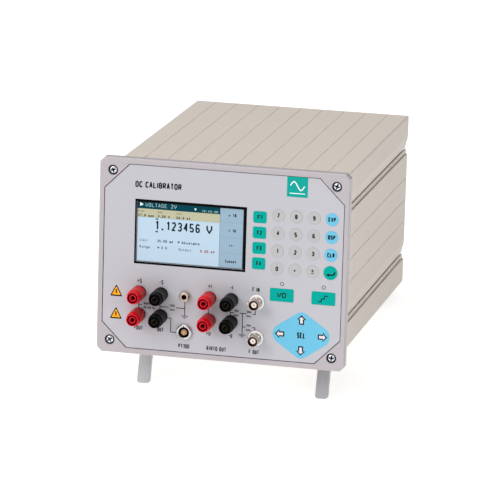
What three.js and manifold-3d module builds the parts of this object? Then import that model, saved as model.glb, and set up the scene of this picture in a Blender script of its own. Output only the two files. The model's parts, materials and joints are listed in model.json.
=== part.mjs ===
// A bench calibration instrument in an extruded aluminium housing, standing on its two swung-out tilt legs.
// The instrument is modelled upright with the centre of its front face at the origin: X is across the
// front, Y is depth (the front faces -Y) and Z is up. A last group tilts it back onto its legs and feet.
import * as THREE from "three";
import { mergeVertices } from "three/addons/utils/BufferGeometryUtils.js";
import Module from "manifold-3d";

const wasm = await Module();
wasm.setup();

// ---- Driving dimensions, in millimetres ----
const GAP = 0.3; // clearance between neighbouring pieces
const ROUND = 14; // facets of a round key or socket
const HOLE_ROUND = 12; // facets of a hole
const SMALL_ROUND = 10; // facets of a screw or stud

const FRAME = { width: 215, height: 169, depth: 8.5, chamfer: 4.2, bevel: 0.9 };
const OPENING = { width: 191, height: 150, chamfer: 19.5 }; // clear opening through the front frame
// Room in the frame for the last column of keys
const KEY_POCKET = { x: 91, z: 12, width: 19, height: 88, depth: 1.9 };
const PANEL = { width: 206, height: 159, chamfer: 21.35, front: 0.3, thickness: 2.5 };
const SCREW = { x: 96, z: 73.5, head: 4, recess: 4.4, shank: 1.9, hole: 2.2, length: 16 };
const SCREW_HEAD = { crown: 0.05, shoulder: 0.5, edge: 1.4, seat: 2.1, recessFloor: 2.4 };
const CROSS = { length: 3.4, width: 0.9, depth: 1 };

const HOUSING = {
  halfWidth: 98.75,
  top: 76.6,
  bottom: -77.7,
  front: 6.6,
  rear: 305.7,
  wall: 2.6,
  corner: 1.5,
};
const HOUSING_MIDDLE = (HOUSING.top + HOUSING.bottom) / 2;
// The side slots: distances from the middle of the instrument, then half heights about the slot's centre
const SLOT = {
  upper: 46.75,
  lower: -50.85,
  overhang: 96.6,
  lip: 97.2,
  neck: 95.6,
  floor: 92.8,
  back: 90.8,
  mouth: 0.7,
  inside: 2.5,
  shelf: 6.2,
  flare: 11.1,
  strip: 3.4,
  step: 0.8,
};
const GROOVE = { pitch: 20, half: 0.35, depth: 0.4, topCount: 9, sideCount: 3 };
const CORNER_BLOCK = 9; // side of the solid corner that carries a screw channel

const KEYPAD = { x: 47.1, z: 45.3, pitchX: 15.24, pitchZ: 15.2, radius: 6 };
const FUNCTION_KEY = { x: 31.34, z: 42.62, pitch: 13.22, width: 11.5, height: 10.1, corner: 1.2 };
const WIDE_KEYS = { width: 20.3, height: 11.25, corner: 1.2, z: -22.65, output: 51.97, step: 87.6 };
const CURSOR = { x: 69.6, z: -56, reachX: 18.4, reachZ: 13.4 };
const ARROW = { length: 8.2, head: 3.9, width: 8.2, stem: 4.5 };
const SELECT_RADIUS = 5;
const KEY = { front: 0, flange: 1.1, lip: 0.9, clearance: 0.15, hole: 0.2 };

const DISPLAY = { x: -28.12, z: 22.51, width: 93.4, height: 52.4, corner: 0.6, glass: 1.5 };
const DISPLAY_MODULE = { width: 105, height: 67, depth: 4.8 };
const DISPLAY_BOARD = { thickness: 1.6, standoff: 4.6 };
const DISPLAY_BOARD_AREAS = [
  { x: 0, z: 27.5, width: 176, height: 69 },
  { x: 65.6, z: -28, width: 49, height: 44 },
  { x: 59.5, z: -60, width: 37, height: 24 },
];
const KEY_MATS = [
  { x: 65.8, z: 22.5, width: 49, height: 57 },
  { x: 31.34, z: 22.8, width: 13, height: 53 },
  { x: 66, z: -22.65, width: 48, height: 12 },
  { x: 69.6, z: -56, width: 41, height: 9 },
  { x: 69.6, z: -56, width: 12, height: 31 },
];

const POST = {
  front: -22.65,
  back: -2.2,
  ring: 5.45,
  ringLength: 4.6,
  body: 6.2,
  groove: 3.85,
  grooveLength: 8.5,
  sleeve: 3.1,
  bore: 2.05,
  threadEnd: -12.6,
};
const STUD = { radius: 3, bore: 2.05, front: -12, collar: 6.2, collarFront: -1.9 };
const POST_COLUMNS = { left_red: -70.97, left_black: -51.92, right_red: -10.09, right_black: 8.96 };
const POST_ROWS = { upper: -30.35, lower: -49.4 };
const TERMINAL_BOARD = { x: -24, z: -45.5, width: 124, height: 55, front: 12, thickness: 1.6 };
const EARTH = { x: -31, z: -30.35, radius: 4.55, front: -4.5, bore: 2.05, neck: 3.9, hole: 4.3 };
const SENSOR = {
  x: -31,
  z: -61.5,
  radius: 7,
  front: -2.6,
  insert: 2.9,
  well: 4.3,
  ring: 4.9,
  neck: 5.4,
  hole: 5.8,
};
const COAX = {
  x: 31,
  rows: { upper: -30.35, lower: -61.5 },
  front: -13,
  barrel: 4.85,
  flange: 6.4,
  flangeLength: 2,
  well: 4.1,
  wellDepth: 9,
  insert: 2.3,
  insertFront: 1.6,
  contact: 0.75,
  contactDepth: 6,
  neck: 4.9,
  hole: 5.3,
};
const SOCKET_BACK = 11.2;

const LEG = {
  x: 78.5,
  width: 10.4,
  thickness: 7,
  length: 41.8,
  lean: 18.5,
  toe: 1.5,
  bore: 1.8,
  pin: 1.5,
};
const LEG_TIP = { y: 48.2, z: -122.8 }; // lower front edge of a swung-out leg
const FRONT_FOOT = { width: 17, start: 54, end: 112, height: 11.7, roof: 2.2, edge: 1.5, wall: 3 };
const REAR_FOOT = { x: 73, width: 24, start: 268, end: 300, facet: 10, toe: 2 };

const REAR_PANEL = { thickness: 2, inset: 0.7, slotSkirt: 7 };
const INLET = {
  x: 62,
  z: -27,
  width: 31,
  height: 61,
  corner: 2,
  flange: 3,
  depth: 26,
  body: 27,
  bodyHeight: 55,
};
const SOCKET_WELL = { width: 24.6, height: 16.9, chamfer: 4, depth: 17, z: -17.5 };
const ROCKER = { z: 17.5, width: 12.4, halfHeight: 8.9, shoulder: 3, crown: 5, back: 5, tilt: 10 };
const ROCKER_WELL = { width: 13, height: 19.6, depth: 13.2 };
const MAIN_BOARD = { x: -36, width: 102, front: 60, rear: 302, z: -60, thickness: 1.6 };
const BOARD_PARTS = [
  { x: -60, y: 150, width: 6, depth: 90, height: 30 }, // heat sink
  { x: -20, y: 120, width: 60, depth: 60, height: 10 }, // screened reference
];
const CONNECTOR_DEPTH = { inside: 14, proud: 0.8 };
const CONNECTORS = [
  { x: -66, width: 31, height: 12.6 },
  { x: -36, width: 12.2, height: 11 },
  { x: -10, width: 16.2, height: 13.6 },
];
const VENT = { count: 10, pitch: 8, width: 3, height: 34, x: -58, z: 33 };
const TRANSFORMER = { x: 52, y: 215, width: 64, depth: 54, height: 56, core: 27, coil: 35, coilHeight: 37 };

// ---- Derived places ----
const LEAN = THREE.MathUtils.degToRad(LEG.lean);
const halfLeg = LEG.thickness / 2;
const PIVOT = {
  y: LEG_TIP.y + halfLeg * Math.cos(LEAN) + LEG.length * Math.sin(LEAN),
  z: LEG_TIP.z - halfLeg * Math.sin(LEAN) + LEG.length * Math.cos(LEAN),
};
const FOOT_SOLE = HOUSING.bottom - GAP - FRONT_FOOT.height;
const FACET_START = REAR_FOOT.end - REAR_FOOT.facet;
const TILT = Math.atan2(FOOT_SOLE - LEG_TIP.z, FACET_START - LEG_TIP.y);
const PANEL_BACK = PANEL.front + PANEL.thickness;
const RECESS_FLOOR = PANEL_BACK + GAP;
const SOCKET_SEAT = PANEL.front - GAP; // where the sockets' flanges meet the panel
const REAR_FACE = HOUSING.rear + GAP + REAR_PANEL.thickness;
const SLOTS = [SLOT.upper, SLOT.lower];
const SEAM = SLOTS[0];

// ---- Solids ----
function solid(geometry) {
  const bare = geometry.clone();
  bare.deleteAttribute("normal");
  bare.deleteAttribute("uv");
  const merged = mergeVertices(bare, 1e-4);
  const corners = merged.index.array;
  const faces = [];
  for (let i = 0; i < corners.length; i += 3) {
    const [a, b, c] = [corners[i], corners[i + 1], corners[i + 2]];
    if (a !== b && b !== c && c !== a) faces.push(a, b, c);
  }
  return new wasm.Manifold(
    new wasm.Mesh({
      numProp: 3,
      vertProperties: merged.attributes.position.array,
      triVerts: new Uint32Array(faces),
    }),
  );
}

function join(first, ...others) {
  return others.reduce((sum, other) => sum.add(other), first);
}

function cut(first, ...tools) {
  return tools.reduce((rest, tool) => rest.subtract(tool), first);
}

function geometryOf(manifold) {
  const mesh = manifold.getMesh();
  const geometry = new THREE.BufferGeometry();
  geometry.setAttribute("position", new THREE.BufferAttribute(mesh.vertProperties, 3));
  geometry.setIndex(new THREE.BufferAttribute(mesh.triVerts, 1));
  geometry.computeVertexNormals();
  return geometry;
}

// An outline drawn in the front view (x, z), given thickness from one depth to another.
function plate(shape, front, back, bevel = 0) {
  const geometry = new THREE.ExtrudeGeometry(shape, {
    depth: back - front - 2 * bevel,
    bevelEnabled: bevel > 0,
    bevelThickness: bevel,
    bevelSize: bevel,
    bevelOffset: -bevel,
    bevelSegments: 1,
    curveSegments: 2,
  });
  return solid(geometry.rotateX(Math.PI / 2).translate(0, back - bevel, 0));
}

// An outline drawn in the side view (y, z), given width from one x to another.
function sideProfile(points, left, right) {
  const geometry = new THREE.ExtrudeGeometry(polygon(points), {
    depth: right - left,
    bevelEnabled: false,
  });
  const turn = new THREE.Matrix4().makeBasis(
    new THREE.Vector3(0, 1, 0),
    new THREE.Vector3(0, 0, 1),
    new THREE.Vector3(1, 0, 0),
  );
  return solid(geometry.applyMatrix4(turn).translate(left, 0, 0));
}

function block(x, y, z, width, depth, height) {
  return solid(new THREE.BoxGeometry(width, depth, height).translate(x, y, z));
}

function rod(radius, front, back, x = 0, z = 0, facets = ROUND) {
  const geometry = new THREE.CylinderGeometry(radius, radius, back - front, facets);
  return solid(geometry.translate(x, (front + back) / 2, z));
}

// A turned piece about a front-to-back axis: points are [radius, depth], closed on themselves.
function turned(points, x = 0, z = 0, facets = ROUND) {
  const profile = [...points, points[0]].map(([radius, depth]) => new THREE.Vector2(radius, depth));
  return solid(new THREE.LatheGeometry(profile, facets).translate(x, 0, z));
}

function polygon(points) {
  return new THREE.Shape(points.map(([a, b]) => new THREE.Vector2(a, b)));
}

function chamfered(width, height, chamfer) {
  const [x, z] = [width / 2, height / 2];
  return polygon([
    [x, -z + chamfer],
    [x, z - chamfer],
    [x - chamfer, z],
    [-x + chamfer, z],
    [-x, z - chamfer],
    [-x, -z + chamfer],
    [-x + chamfer, -z],
    [x - chamfer, -z],
  ]);
}

function rounded(x, z, width, height, radius) {
  const [left, right, low, high] = [x - width / 2, x + width / 2, z - height / 2, z + height / 2];
  const shape = new THREE.Shape();
  shape.absarc(right - radius, low + radius, radius, -Math.PI / 2, 0);
  shape.absarc(right - radius, high - radius, radius, 0, Math.PI / 2);
  shape.absarc(left + radius, high - radius, radius, Math.PI / 2, Math.PI);
  shape.absarc(left + radius, low + radius, radius, Math.PI, 1.5 * Math.PI);
  shape.closePath();
  return shape;
}

// An arrow of the cursor keys: drawn pointing up, grown by a margin, then turned and placed.
function arrow(x, z, turn, margin = 0) {
  const half = { head: ARROW.width / 2 + margin, stem: ARROW.stem / 2 + margin };
  const [tip, tail] = [ARROW.length / 2 + margin, -ARROW.length / 2 - margin];
  const shoulder = ARROW.length / 2 - ARROW.head - margin * 0.4;
  const outline = [
    [half.stem, tail],
    [half.stem, shoulder],
    [half.head + margin * 0.6, shoulder],
    [0, tip + margin * 0.4],
    [-half.head - margin * 0.6, shoulder],
    [-half.stem, shoulder],
    [-half.stem, tail],
  ];
  const [c, s] = [Math.cos(turn), Math.sin(turn)];
  return polygon(outline.map(([a, b]) => [x + a * c - b * s, z + a * s + b * c]));
}

// The same points on the other side, in the same order or in the opposite order.
function flipped(points) {
  return points.map(([x, z]) => [-x, z]);
}

function mirrored(points) {
  return flipped(points).reverse();
}

// ---- Keys: what each one is, where it sits, and the outline of its cap grown by a margin ----
const COLOURS = { digit: 0xc1c2c5, green: 0x07a599, sky: 0x80c4dd, white: 0xeceae8 };

const roundKey = (x, z, radius) => (margin) => rod(radius + margin, 0, 1, x, z);
const squareKey = (x, z, width, height, corner) => (margin) =>
  plate(rounded(x, z, width + 2 * margin, height + 2 * margin, corner), 0, 1);
const arrowKey = (x, z, turn) => (margin) => plate(arrow(x, z, turn, margin), 0, 1);

function keyList() {
  const keys = [];
  for (let j = 0; j < 4; j++) {
    const z = FUNCTION_KEY.z - j * FUNCTION_KEY.pitch;
    const { x, width, height, corner } = FUNCTION_KEY;
    const outline = squareKey(x, z, width, height, corner);
    keys.push({ name: `key_f${j + 1}`, outline, colour: COLOURS.green });
  }
  const rows = [
    ["7", "8", "9", "exponent"],
    ["4", "5", "6", "display"],
    ["1", "2", "3", "clear"],
    ["0", "point", "sign", "enter"],
  ];
  rows.forEach((row, j) =>
    row.forEach((label, i) => {
      const x = KEYPAD.x + i * KEYPAD.pitchX;
      const z = KEYPAD.z - j * KEYPAD.pitchZ;
      const colour = i < 3 ? COLOURS.digit : j < 3 ? COLOURS.sky : COLOURS.green;
      keys.push({ name: `key_${label}`, outline: roundKey(x, z, KEYPAD.radius), colour });
    }),
  );
  for (const label of ["output", "step"]) {
    const { z, width, height, corner } = WIDE_KEYS;
    const outline = squareKey(WIDE_KEYS[label], z, width, height, corner);
    keys.push({ name: `key_${label}`, outline, colour: COLOURS.green });
  }
  ["up", "left", "down", "right"].forEach((label, quarter) => {
    const turn = (quarter * Math.PI) / 2;
    const x = CURSOR.x - CURSOR.reachX * Math.sin(turn);
    const z = CURSOR.z + CURSOR.reachZ * Math.cos(turn);
    keys.push({ name: `key_${label}`, outline: arrowKey(x, z, turn), colour: COLOURS.white });
  });
  const outline = roundKey(CURSOR.x, CURSOR.z, SELECT_RADIUS);
  keys.push({ name: "key_select", outline, colour: COLOURS.sky });
  return keys;
}

const KEYS = keyList();

// Stretches a one millimetre thick slice to lie between two depths.
function stretched(slice, front, back) {
  return slice.scale([1, back - front, 1]).translate([0, front, 0]);
}

// ---- Assembly helpers ----
const instrument = new THREE.Group();

function addPart(name, manifold, material, parent = instrument) {
  const mesh = new THREE.Mesh(geometryOf(manifold), new THREE.MeshStandardMaterial(material));
  mesh.name = name;
  parent.add(mesh);
  return mesh;
}

const LOOK = {
  coatedMetal: { color: 0xc3bbb4, roughness: 0.55, metalness: 0.1 },
  frame: { color: 0xc4bcba, roughness: 0.5, metalness: 0.1 },
  foil: { color: 0xc2c1c4, roughness: 0.45, metalness: 0 },
  zinc: { color: 0xc9ccd0, roughness: 0.3, metalness: 1 },
  legMetal: { color: 0x97979a, roughness: 0.45, metalness: 0.8 },
  red: { color: 0xb0262c, roughness: 0.4, metalness: 0 },
  black: { color: 0x1f1f21, roughness: 0.45, metalness: 0 },
  beigeMetal: { color: 0xb8a58c, roughness: 0.35, metalness: 0.9 },
  board: { color: 0x1f5a35, roughness: 0.6, metalness: 0 },
  footRubber: { color: 0x2a2a2c, roughness: 0.8, metalness: 0 },
  iron: { color: 0x55504c, roughness: 0.6, metalness: 0.6 },
};

// ---- Front frame and its screws ----
function frontFrame() {
  const behind = FRAME.depth + 1;
  const seat = chamfered(PANEL.width + 2 * GAP, PANEL.height + 2 * GAP, PANEL.chamfer + 0.6 * GAP);
  const housingSeat = rounded(
    0,
    HOUSING_MIDDLE,
    2 * (HOUSING.halfWidth + GAP),
    HOUSING.top - HOUSING.bottom + 2 * GAP,
    HOUSING.corner,
  );
  const pocket = block(
    KEY_POCKET.x,
    RECESS_FLOOR,
    KEY_POCKET.z,
    KEY_POCKET.width,
    2 * KEY_POCKET.depth,
    KEY_POCKET.height,
  );
  const outline = chamfered(FRAME.width, FRAME.height, FRAME.chamfer);
  let frame = cut(
    plate(outline, 0, FRAME.depth, FRAME.bevel),
    plate(chamfered(OPENING.width, OPENING.height, OPENING.chamfer), -1, behind),
    plate(seat, -1, RECESS_FLOOR),
    plate(housingSeat, HOUSING.front - GAP, behind),
    pocket,
  );
  for (const [x, z] of cornerPlaces()) {
    const counterbore = rod(SCREW.recess, -1, SCREW_HEAD.recessFloor, x, z);
    frame = cut(frame, counterbore, rod(SCREW.hole, -1, behind, x, z));
  }
  addPart("front_frame", frame, LOOK.frame);
}

function cornerPlaces() {
  const { x, z } = SCREW;
  return [
    [-x, z],
    [x, z],
    [-x, -z],
    [x, -z],
  ];
}

function frameScrews() {
  const { crown, shoulder, edge, seat } = SCREW_HEAD;
  const end = seat + SCREW.length;
  const profile = [
    [0, crown],
    [SCREW.head * 0.8, shoulder],
    [SCREW.head, edge],
    [SCREW.head, seat],
    [SCREW.shank, seat],
    [SCREW.shank, end],
    [0, end],
  ];
  cornerPlaces().forEach(([x, z], index) => {
    const crossRecess = join(
      block(x, 0, z, CROSS.length, 2 * CROSS.depth, CROSS.width),
      block(x, 0, z, CROSS.width, 2 * CROSS.depth, CROSS.length),
    );
    const screw = cut(turned(profile, x, z, SMALL_ROUND), crossRecess);
    addPart(`frame_screw_${index + 1}`, screw, LOOK.zinc);
  });
}

// ---- Front panel: one plate with an opening for everything that passes through it ----
function frontPanel() {
  const through = [PANEL.front - 1, PANEL_BACK + 1];
  const hole = (radius, x, z) => rod(radius, ...through, x, z, HOLE_ROUND);
  const window = rounded(DISPLAY.x, DISPLAY.z, DISPLAY.width, DISPLAY.height, DISPLAY.corner);
  const openings = [
    ...KEYS.map((key) => stretched(key.outline(KEY.hole), ...through)),
    plate(window, ...through),
    ...postPlaces().map(({ x, z }) => hole(STUD.radius + 0.5, x, z)),
    hole(EARTH.hole, EARTH.x, EARTH.z),
    hole(SENSOR.hole, SENSOR.x, SENSOR.z),
    ...Object.values(COAX.rows).map((z) => hole(COAX.hole, COAX.x, z)),
  ];
  const outline = chamfered(PANEL.width, PANEL.height, PANEL.chamfer);
  addPart("front_panel", cut(plate(outline, PANEL.front, PANEL_BACK), ...openings), LOOK.foil);
}

function postPlaces() {
  return Object.entries(POST_COLUMNS).flatMap(([column, x]) =>
    Object.entries(POST_ROWS).map(([row, z]) => ({ column, row, x, z })),
  );
}

// ---- Keys: a cap through the panel with a wider flange behind it ----
function keys() {
  for (const { name, outline, colour } of KEYS) {
    const cap = stretched(outline(-KEY.clearance), KEY.front, RECESS_FLOOR + KEY.flange / 2);
    const flange = stretched(outline(KEY.lip), RECESS_FLOOR, RECESS_FLOOR + KEY.flange);
    addPart(name, join(cap, flange), { color: colour, roughness: 0.5, metalness: 0 });
  }
}

// ---- Boards behind the panel ----
function displayBoard() {
  const slab = ({ x, z, width, height }, front, back) =>
    block(x, (front + back) / 2, z, width, back - front, height);
  const boardFront = RECESS_FLOOR + DISPLAY_BOARD.standoff;
  const boardBack = boardFront + DISPLAY_BOARD.thickness;
  const overlap = 0.2;
  const boards = DISPLAY_BOARD_AREAS.map((area) => slab(area, boardFront, boardBack));
  const matFront = RECESS_FLOOR + KEY.flange + KEY.lip;
  const mats = KEY_MATS.map((mat) => slab(mat, matFront, boardFront + overlap));
  const { x, z } = DISPLAY;
  const display = slab({ x, z, ...DISPLAY_MODULE }, RECESS_FLOOR, RECESS_FLOOR + DISPLAY_MODULE.depth);
  const window = { x, z, width: DISPLAY.width - 2 * GAP, height: DISPLAY.height - 2 * GAP };
  const glass = slab(window, DISPLAY.glass, RECESS_FLOOR + overlap);
  addPart("display_board", join(...boards, display, glass, ...mats), LOOK.board);
}

function terminalBoard() {
  const { x: boardX, z: boardZ, width, height, front, thickness } = TERMINAL_BOARD;
  const { radius, bore, collar, collarFront } = STUD;
  const end = front + thickness / 4;
  const profile = [
    [bore, STUD.front],
    [radius, STUD.front],
    [radius, collarFront],
    [collar, collarFront],
    [collar, 0],
    [radius, 0],
    [radius, end],
    [bore, end],
  ];
  const board = block(boardX, front + thickness / 2, boardZ, width, thickness, height);
  const studs = postPlaces().map(({ x, z }) => turned(profile, x, z, SMALL_ROUND));
  addPart("terminal_board", join(board, ...studs), LOOK.board);
}

// ---- Terminals on the front ----
function postCaps() {
  const { front, back, ring, body, groove, sleeve, bore, threadEnd } = POST;
  const grooveEnd = front + POST.grooveLength;
  const ringEnd = front + POST.ringLength;
  const thread = STUD.radius + GAP;
  const profile = [
    [bore, front + 0.5],
    [sleeve, front + 0.5],
    [sleeve, grooveEnd],
    [groove, grooveEnd],
    [groove, front],
    [ring, front],
    [ring, ringEnd],
    [body, ringEnd + body - ring],
    [body, back],
    [thread, back],
    [thread, threadEnd],
    [bore, threadEnd],
  ];
  for (const { column, row, x, z } of postPlaces()) {
    const look = column.endsWith("red") ? LOOK.red : LOOK.black;
    addPart(`post_${column}_${row}`, turned(profile, x, z), look);
  }
}

function earthSocket() {
  const { x, z, front, radius, bore, neck } = EARTH;
  const edge = 0.6;
  const profile = [
    [bore, front],
    [radius - edge, front],
    [radius, front + edge],
    [radius, SOCKET_SEAT],
    [neck, SOCKET_SEAT],
    [neck, SOCKET_BACK],
    [bore, SOCKET_BACK],
  ];
  addPart("earth_socket", turned(profile, x, z), LOOK.beigeMetal);
}

function sensorSocket() {
  const { x, z, front, radius, insert, well, ring, neck } = SENSOR;
  const edge = 0.9;
  const wellFloor = 3;
  const profile = [
    [0, front + edge],
    [insert, front + edge],
    [insert, wellFloor],
    [well, wellFloor],
    [well, front + edge / 2],
    [ring, front],
    [radius - edge, front],
    [radius, front + edge],
    [radius, SOCKET_SEAT],
    [neck, SOCKET_SEAT],
    [neck, SOCKET_BACK],
    [0, SOCKET_BACK],
  ];
  addPart("sensor_socket", turned(profile, x, z), LOOK.zinc);
}

function coaxSockets() {
  const { x, front, barrel, flange, well, insert, contact, neck } = COAX;
  const flangeFront = SOCKET_SEAT - COAX.flangeLength;
  const insertFront = front + COAX.insertFront;
  const wellFloor = front + COAX.wellDepth;
  const contactFloor = front + COAX.contactDepth;
  const edge = 0.4;
  const profile = [
    [contact, insertFront],
    [insert, insertFront],
    [insert, wellFloor],
    [well, wellFloor],
    [well, front],
    [barrel - edge, front],
    [barrel, front + edge],
    [barrel, flangeFront],
    [flange - edge, flangeFront],
    [flange, flangeFront + edge],
    [flange, SOCKET_SEAT],
    [neck, SOCKET_SEAT],
    [neck, SOCKET_BACK],
    [0, SOCKET_BACK],
    [0, contactFloor],
    [contact, contactFloor],
  ];
  const lug = { width: 1.6, thickness: 1.9, setback: 4.2 };
  for (const [row, z] of Object.entries(COAX.rows)) {
    const lugs = [-1, 1].map((side) =>
      block(x + side * (barrel + edge), front + lug.setback, z, lug.width, lug.thickness, lug.thickness),
    );
    addPart(`coax_socket_${row}`, join(turned(profile, x, z), ...lugs), LOOK.zinc);
  }
}

// ---- Housing: two extrusions that meet inside the upper side slots ----
function slotUpperLip(centre) {
  const { overhang, neck, floor, mouth, inside, flare } = SLOT;
  return [
    [floor, centre + inside],
    [neck, centre + inside],
    [neck, centre + mouth],
    [overhang, centre + mouth],
    [HOUSING.halfWidth, centre + flare],
  ];
}

function slotLowerLip(centre) {
  const { lip, neck, floor, mouth, inside, step } = SLOT;
  const strip = centre - mouth - SLOT.strip;
  return [
    [floor, centre - inside],
    [neck, centre - inside],
    [neck, centre - mouth],
    [lip, centre - mouth],
    [lip + GAP, strip],
    [neck, strip],
    [neck, strip - step],
    [HOUSING.halfWidth, strip - step],
  ];
}

function grooves(count, at) {
  const places = Array.from({ length: count }, (_, i) => (i - (count - 1) / 2) * GROOVE.pitch);
  return places.flatMap(at);
}

function roundedCorner(x, z, from) {
  const r = HOUSING.corner;
  return [0, 1, 2, 3].map((step) => {
    const angle = from + (step * Math.PI) / 6;
    return [x + r * Math.cos(angle), z + r * Math.sin(angle)];
  });
}

function cornerChannels(z) {
  const [front, rear] = [HOUSING.front - 1, HOUSING.rear + 1];
  return [-SCREW.x, SCREW.x].map((x) => rod(SCREW.hole, front, rear, x, z, HOLE_ROUND));
}

function topCover() {
  const { halfWidth, top, wall, corner } = HOUSING;
  const { half, depth, topCount } = GROOVE;
  const low = SEAM + GAP / 2;
  const inner = halfWidth - wall;
  const blockX = inner - CORNER_BLOCK + wall;
  const blockZ = top - CORNER_BLOCK;
  const shelf = SEAM + SLOT.shelf;
  const rightSide = [
    [SLOT.back, low],
    [SLOT.floor, low],
    ...slotUpperLip(SEAM),
    ...roundedCorner(halfWidth - corner, top - corner, 0),
  ];
  const roof = grooves(topCount, (x) => [
    [-x + half, top],
    [-x + half / 2, top - depth],
    [-x - half / 2, top - depth],
    [-x - half, top],
  ]);
  const leftInside = [
    [-SLOT.back, shelf],
    [-inner, shelf],
    [-inner, blockZ],
    [-blockX, blockZ],
    [-blockX, top - wall],
  ];
  const outside = [...rightSide, ...roof, ...mirrored(rightSide)];
  const profile = polygon([...outside, ...leftInside, ...mirrored(leftInside)]);
  const shell = cut(plate(profile, HOUSING.front, HOUSING.rear), ...cornerChannels(SCREW.z));
  addPart("top_cover", shell, LOOK.coatedMetal);
}

function bottomShell() {
  const { halfWidth, bottom, wall, corner } = HOUSING;
  const { half, depth, topCount, sideCount } = GROOVE;
  const high = SEAM - GAP / 2;
  const inner = halfWidth - wall;
  const blockX = inner - CORNER_BLOCK + wall;
  const blockZ = bottom + CORNER_BLOCK;
  const lowerSlot = SLOTS[1];
  const ribTop = lowerSlot + SLOT.shelf;
  const ribReach = SLOT.mouth + SLOT.strip + 1.5 * SLOT.step;
  const leftSide = flipped([
    [SLOT.back, high],
    [SLOT.floor, high],
    ...slotLowerLip(SEAM),
    ...grooves(sideCount, (z) => [
      [halfWidth, -z + half],
      [halfWidth - depth, -z + half / 2],
      [halfWidth - depth, -z - half / 2],
      [halfWidth, -z - half],
    ]),
    ...slotUpperLip(lowerSlot).reverse(),
    ...slotLowerLip(lowerSlot),
    ...roundedCorner(halfWidth - corner, bottom + corner, -Math.PI / 2).reverse(),
  ]);
  const floor = grooves(topCount, (x) => [
    [x - half, bottom],
    [x - half / 2, bottom + depth],
    [x + half / 2, bottom + depth],
    [x + half, bottom],
  ]);
  const rightInside = [
    [SLOT.back, SEAM - ribReach],
    [inner, SEAM - ribReach],
    [inner, ribTop],
    [SLOT.back, ribTop],
    [SLOT.back, lowerSlot - ribReach],
    [inner, lowerSlot - ribReach],
    [inner, blockZ],
    [blockX, blockZ],
    [blockX, bottom + wall],
  ];
  const outside = [...leftSide, ...floor, ...mirrored(leftSide)];
  const profile = polygon([...outside, ...rightInside, ...mirrored(rightInside)]);
  const shell = cut(plate(profile, HOUSING.front, HOUSING.rear), ...cornerChannels(-SCREW.z));
  addPart("bottom_shell", shell, LOOK.coatedMetal);
}

// ---- Legs and feet ----
function hingeFoot(side) {
  const { start, end, roof, width, edge, wall } = FRONT_FOOT;
  const top = HOUSING.bottom - GAP;
  const x = side * LEG.x;
  const body = sideProfile(
    [
      [start, FOOT_SOLE + edge],
      [start + edge, FOOT_SOLE],
      [end - edge, FOOT_SOLE],
      [end, FOOT_SOLE + edge],
      [end, top],
      [start, top],
    ],
    x - width / 2,
    x + width / 2,
  );
  // The channel's front wall is the leg's stop, parallel to the front of the swung-out leg.
  const reach = halfLeg + GAP;
  const stop = { y: PIVOT.y - reach * Math.cos(LEAN), z: PIVOT.z + reach * Math.sin(LEAN) };
  const stopAt = (z) => [stop.y + (z - stop.z) * Math.tan(LEAN), z];
  const ceiling = top - roof;
  const channel = sideProfile(
    [
      stopAt(FOOT_SOLE - 1),
      [end - wall, FOOT_SOLE - 1],
      [end - wall, ceiling],
      stopAt(ceiling),
    ],
    x - LEG.width / 2 - GAP,
    x + LEG.width / 2 + GAP,
  );
  return join(cut(body, channel), crossRod(LEG.pin).translate([x, PIVOT.y, PIVOT.z]));
}

// A rod across the leg, about the leg's own hinge line.
function crossRod(radius) {
  const geometry = new THREE.CylinderGeometry(radius, radius, LEG.width + 2, HOLE_ROUND);
  return solid(geometry.rotateZ(Math.PI / 2));
}

function tiltLeg() {
  const slope = Math.tan(LEAN + TILT);
  const arc = Array.from({ length: 9 }, (_, i) => {
    const angle = (i * Math.PI) / 8;
    return [halfLeg * Math.cos(angle), halfLeg * Math.sin(angle)];
  });
  const side = sideProfile(
    [...arc, [-halfLeg, -LEG.length], [halfLeg, -LEG.length + LEG.thickness * slope]],
    -LEG.width / 2,
    LEG.width / 2,
  );
  const [half, low] = [LEG.width / 2, -LEG.length];
  const front = plate(
    polygon([
      [half, low + LEG.toe],
      [half, halfLeg + 1],
      [-half, halfLeg + 1],
      [-half, low + LEG.toe],
      [-half + LEG.toe, low],
      [half - LEG.toe, low],
    ]),
    -halfLeg - 1,
    halfLeg + 1,
  );
  return cut(side.intersect(front), crossRod(LEG.bore));
}

function rearFoot(side) {
  const { x, width, start, end, facet, toe } = REAR_FOOT;
  return sideProfile(
    [
      [start, FOOT_SOLE + toe],
      [start + toe, FOOT_SOLE],
      [end - facet, FOOT_SOLE],
      [end, FOOT_SOLE + facet * Math.tan(TILT)],
      [end, HOUSING.bottom - GAP],
      [start, HOUSING.bottom - GAP],
    ],
    side * x - width / 2,
    side * x + width / 2,
  );
}

function legsAndFeet() {
  for (const [name, side] of [
    ["left", -1],
    ["right", 1],
  ]) {
    addPart(`front_foot_${name}`, hingeFoot(side), LOOK.footRubber);
    const leg = addPart(`tilt_leg_${name}`, tiltLeg(), LOOK.legMetal);
    leg.position.set(side * LEG.x, PIVOT.y, PIVOT.z);
    leg.rotation.x = -LEAN;
    addPart(`rear_foot_${name}`, rearFoot(side), LOOK.footRubber);
  }
}

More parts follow.
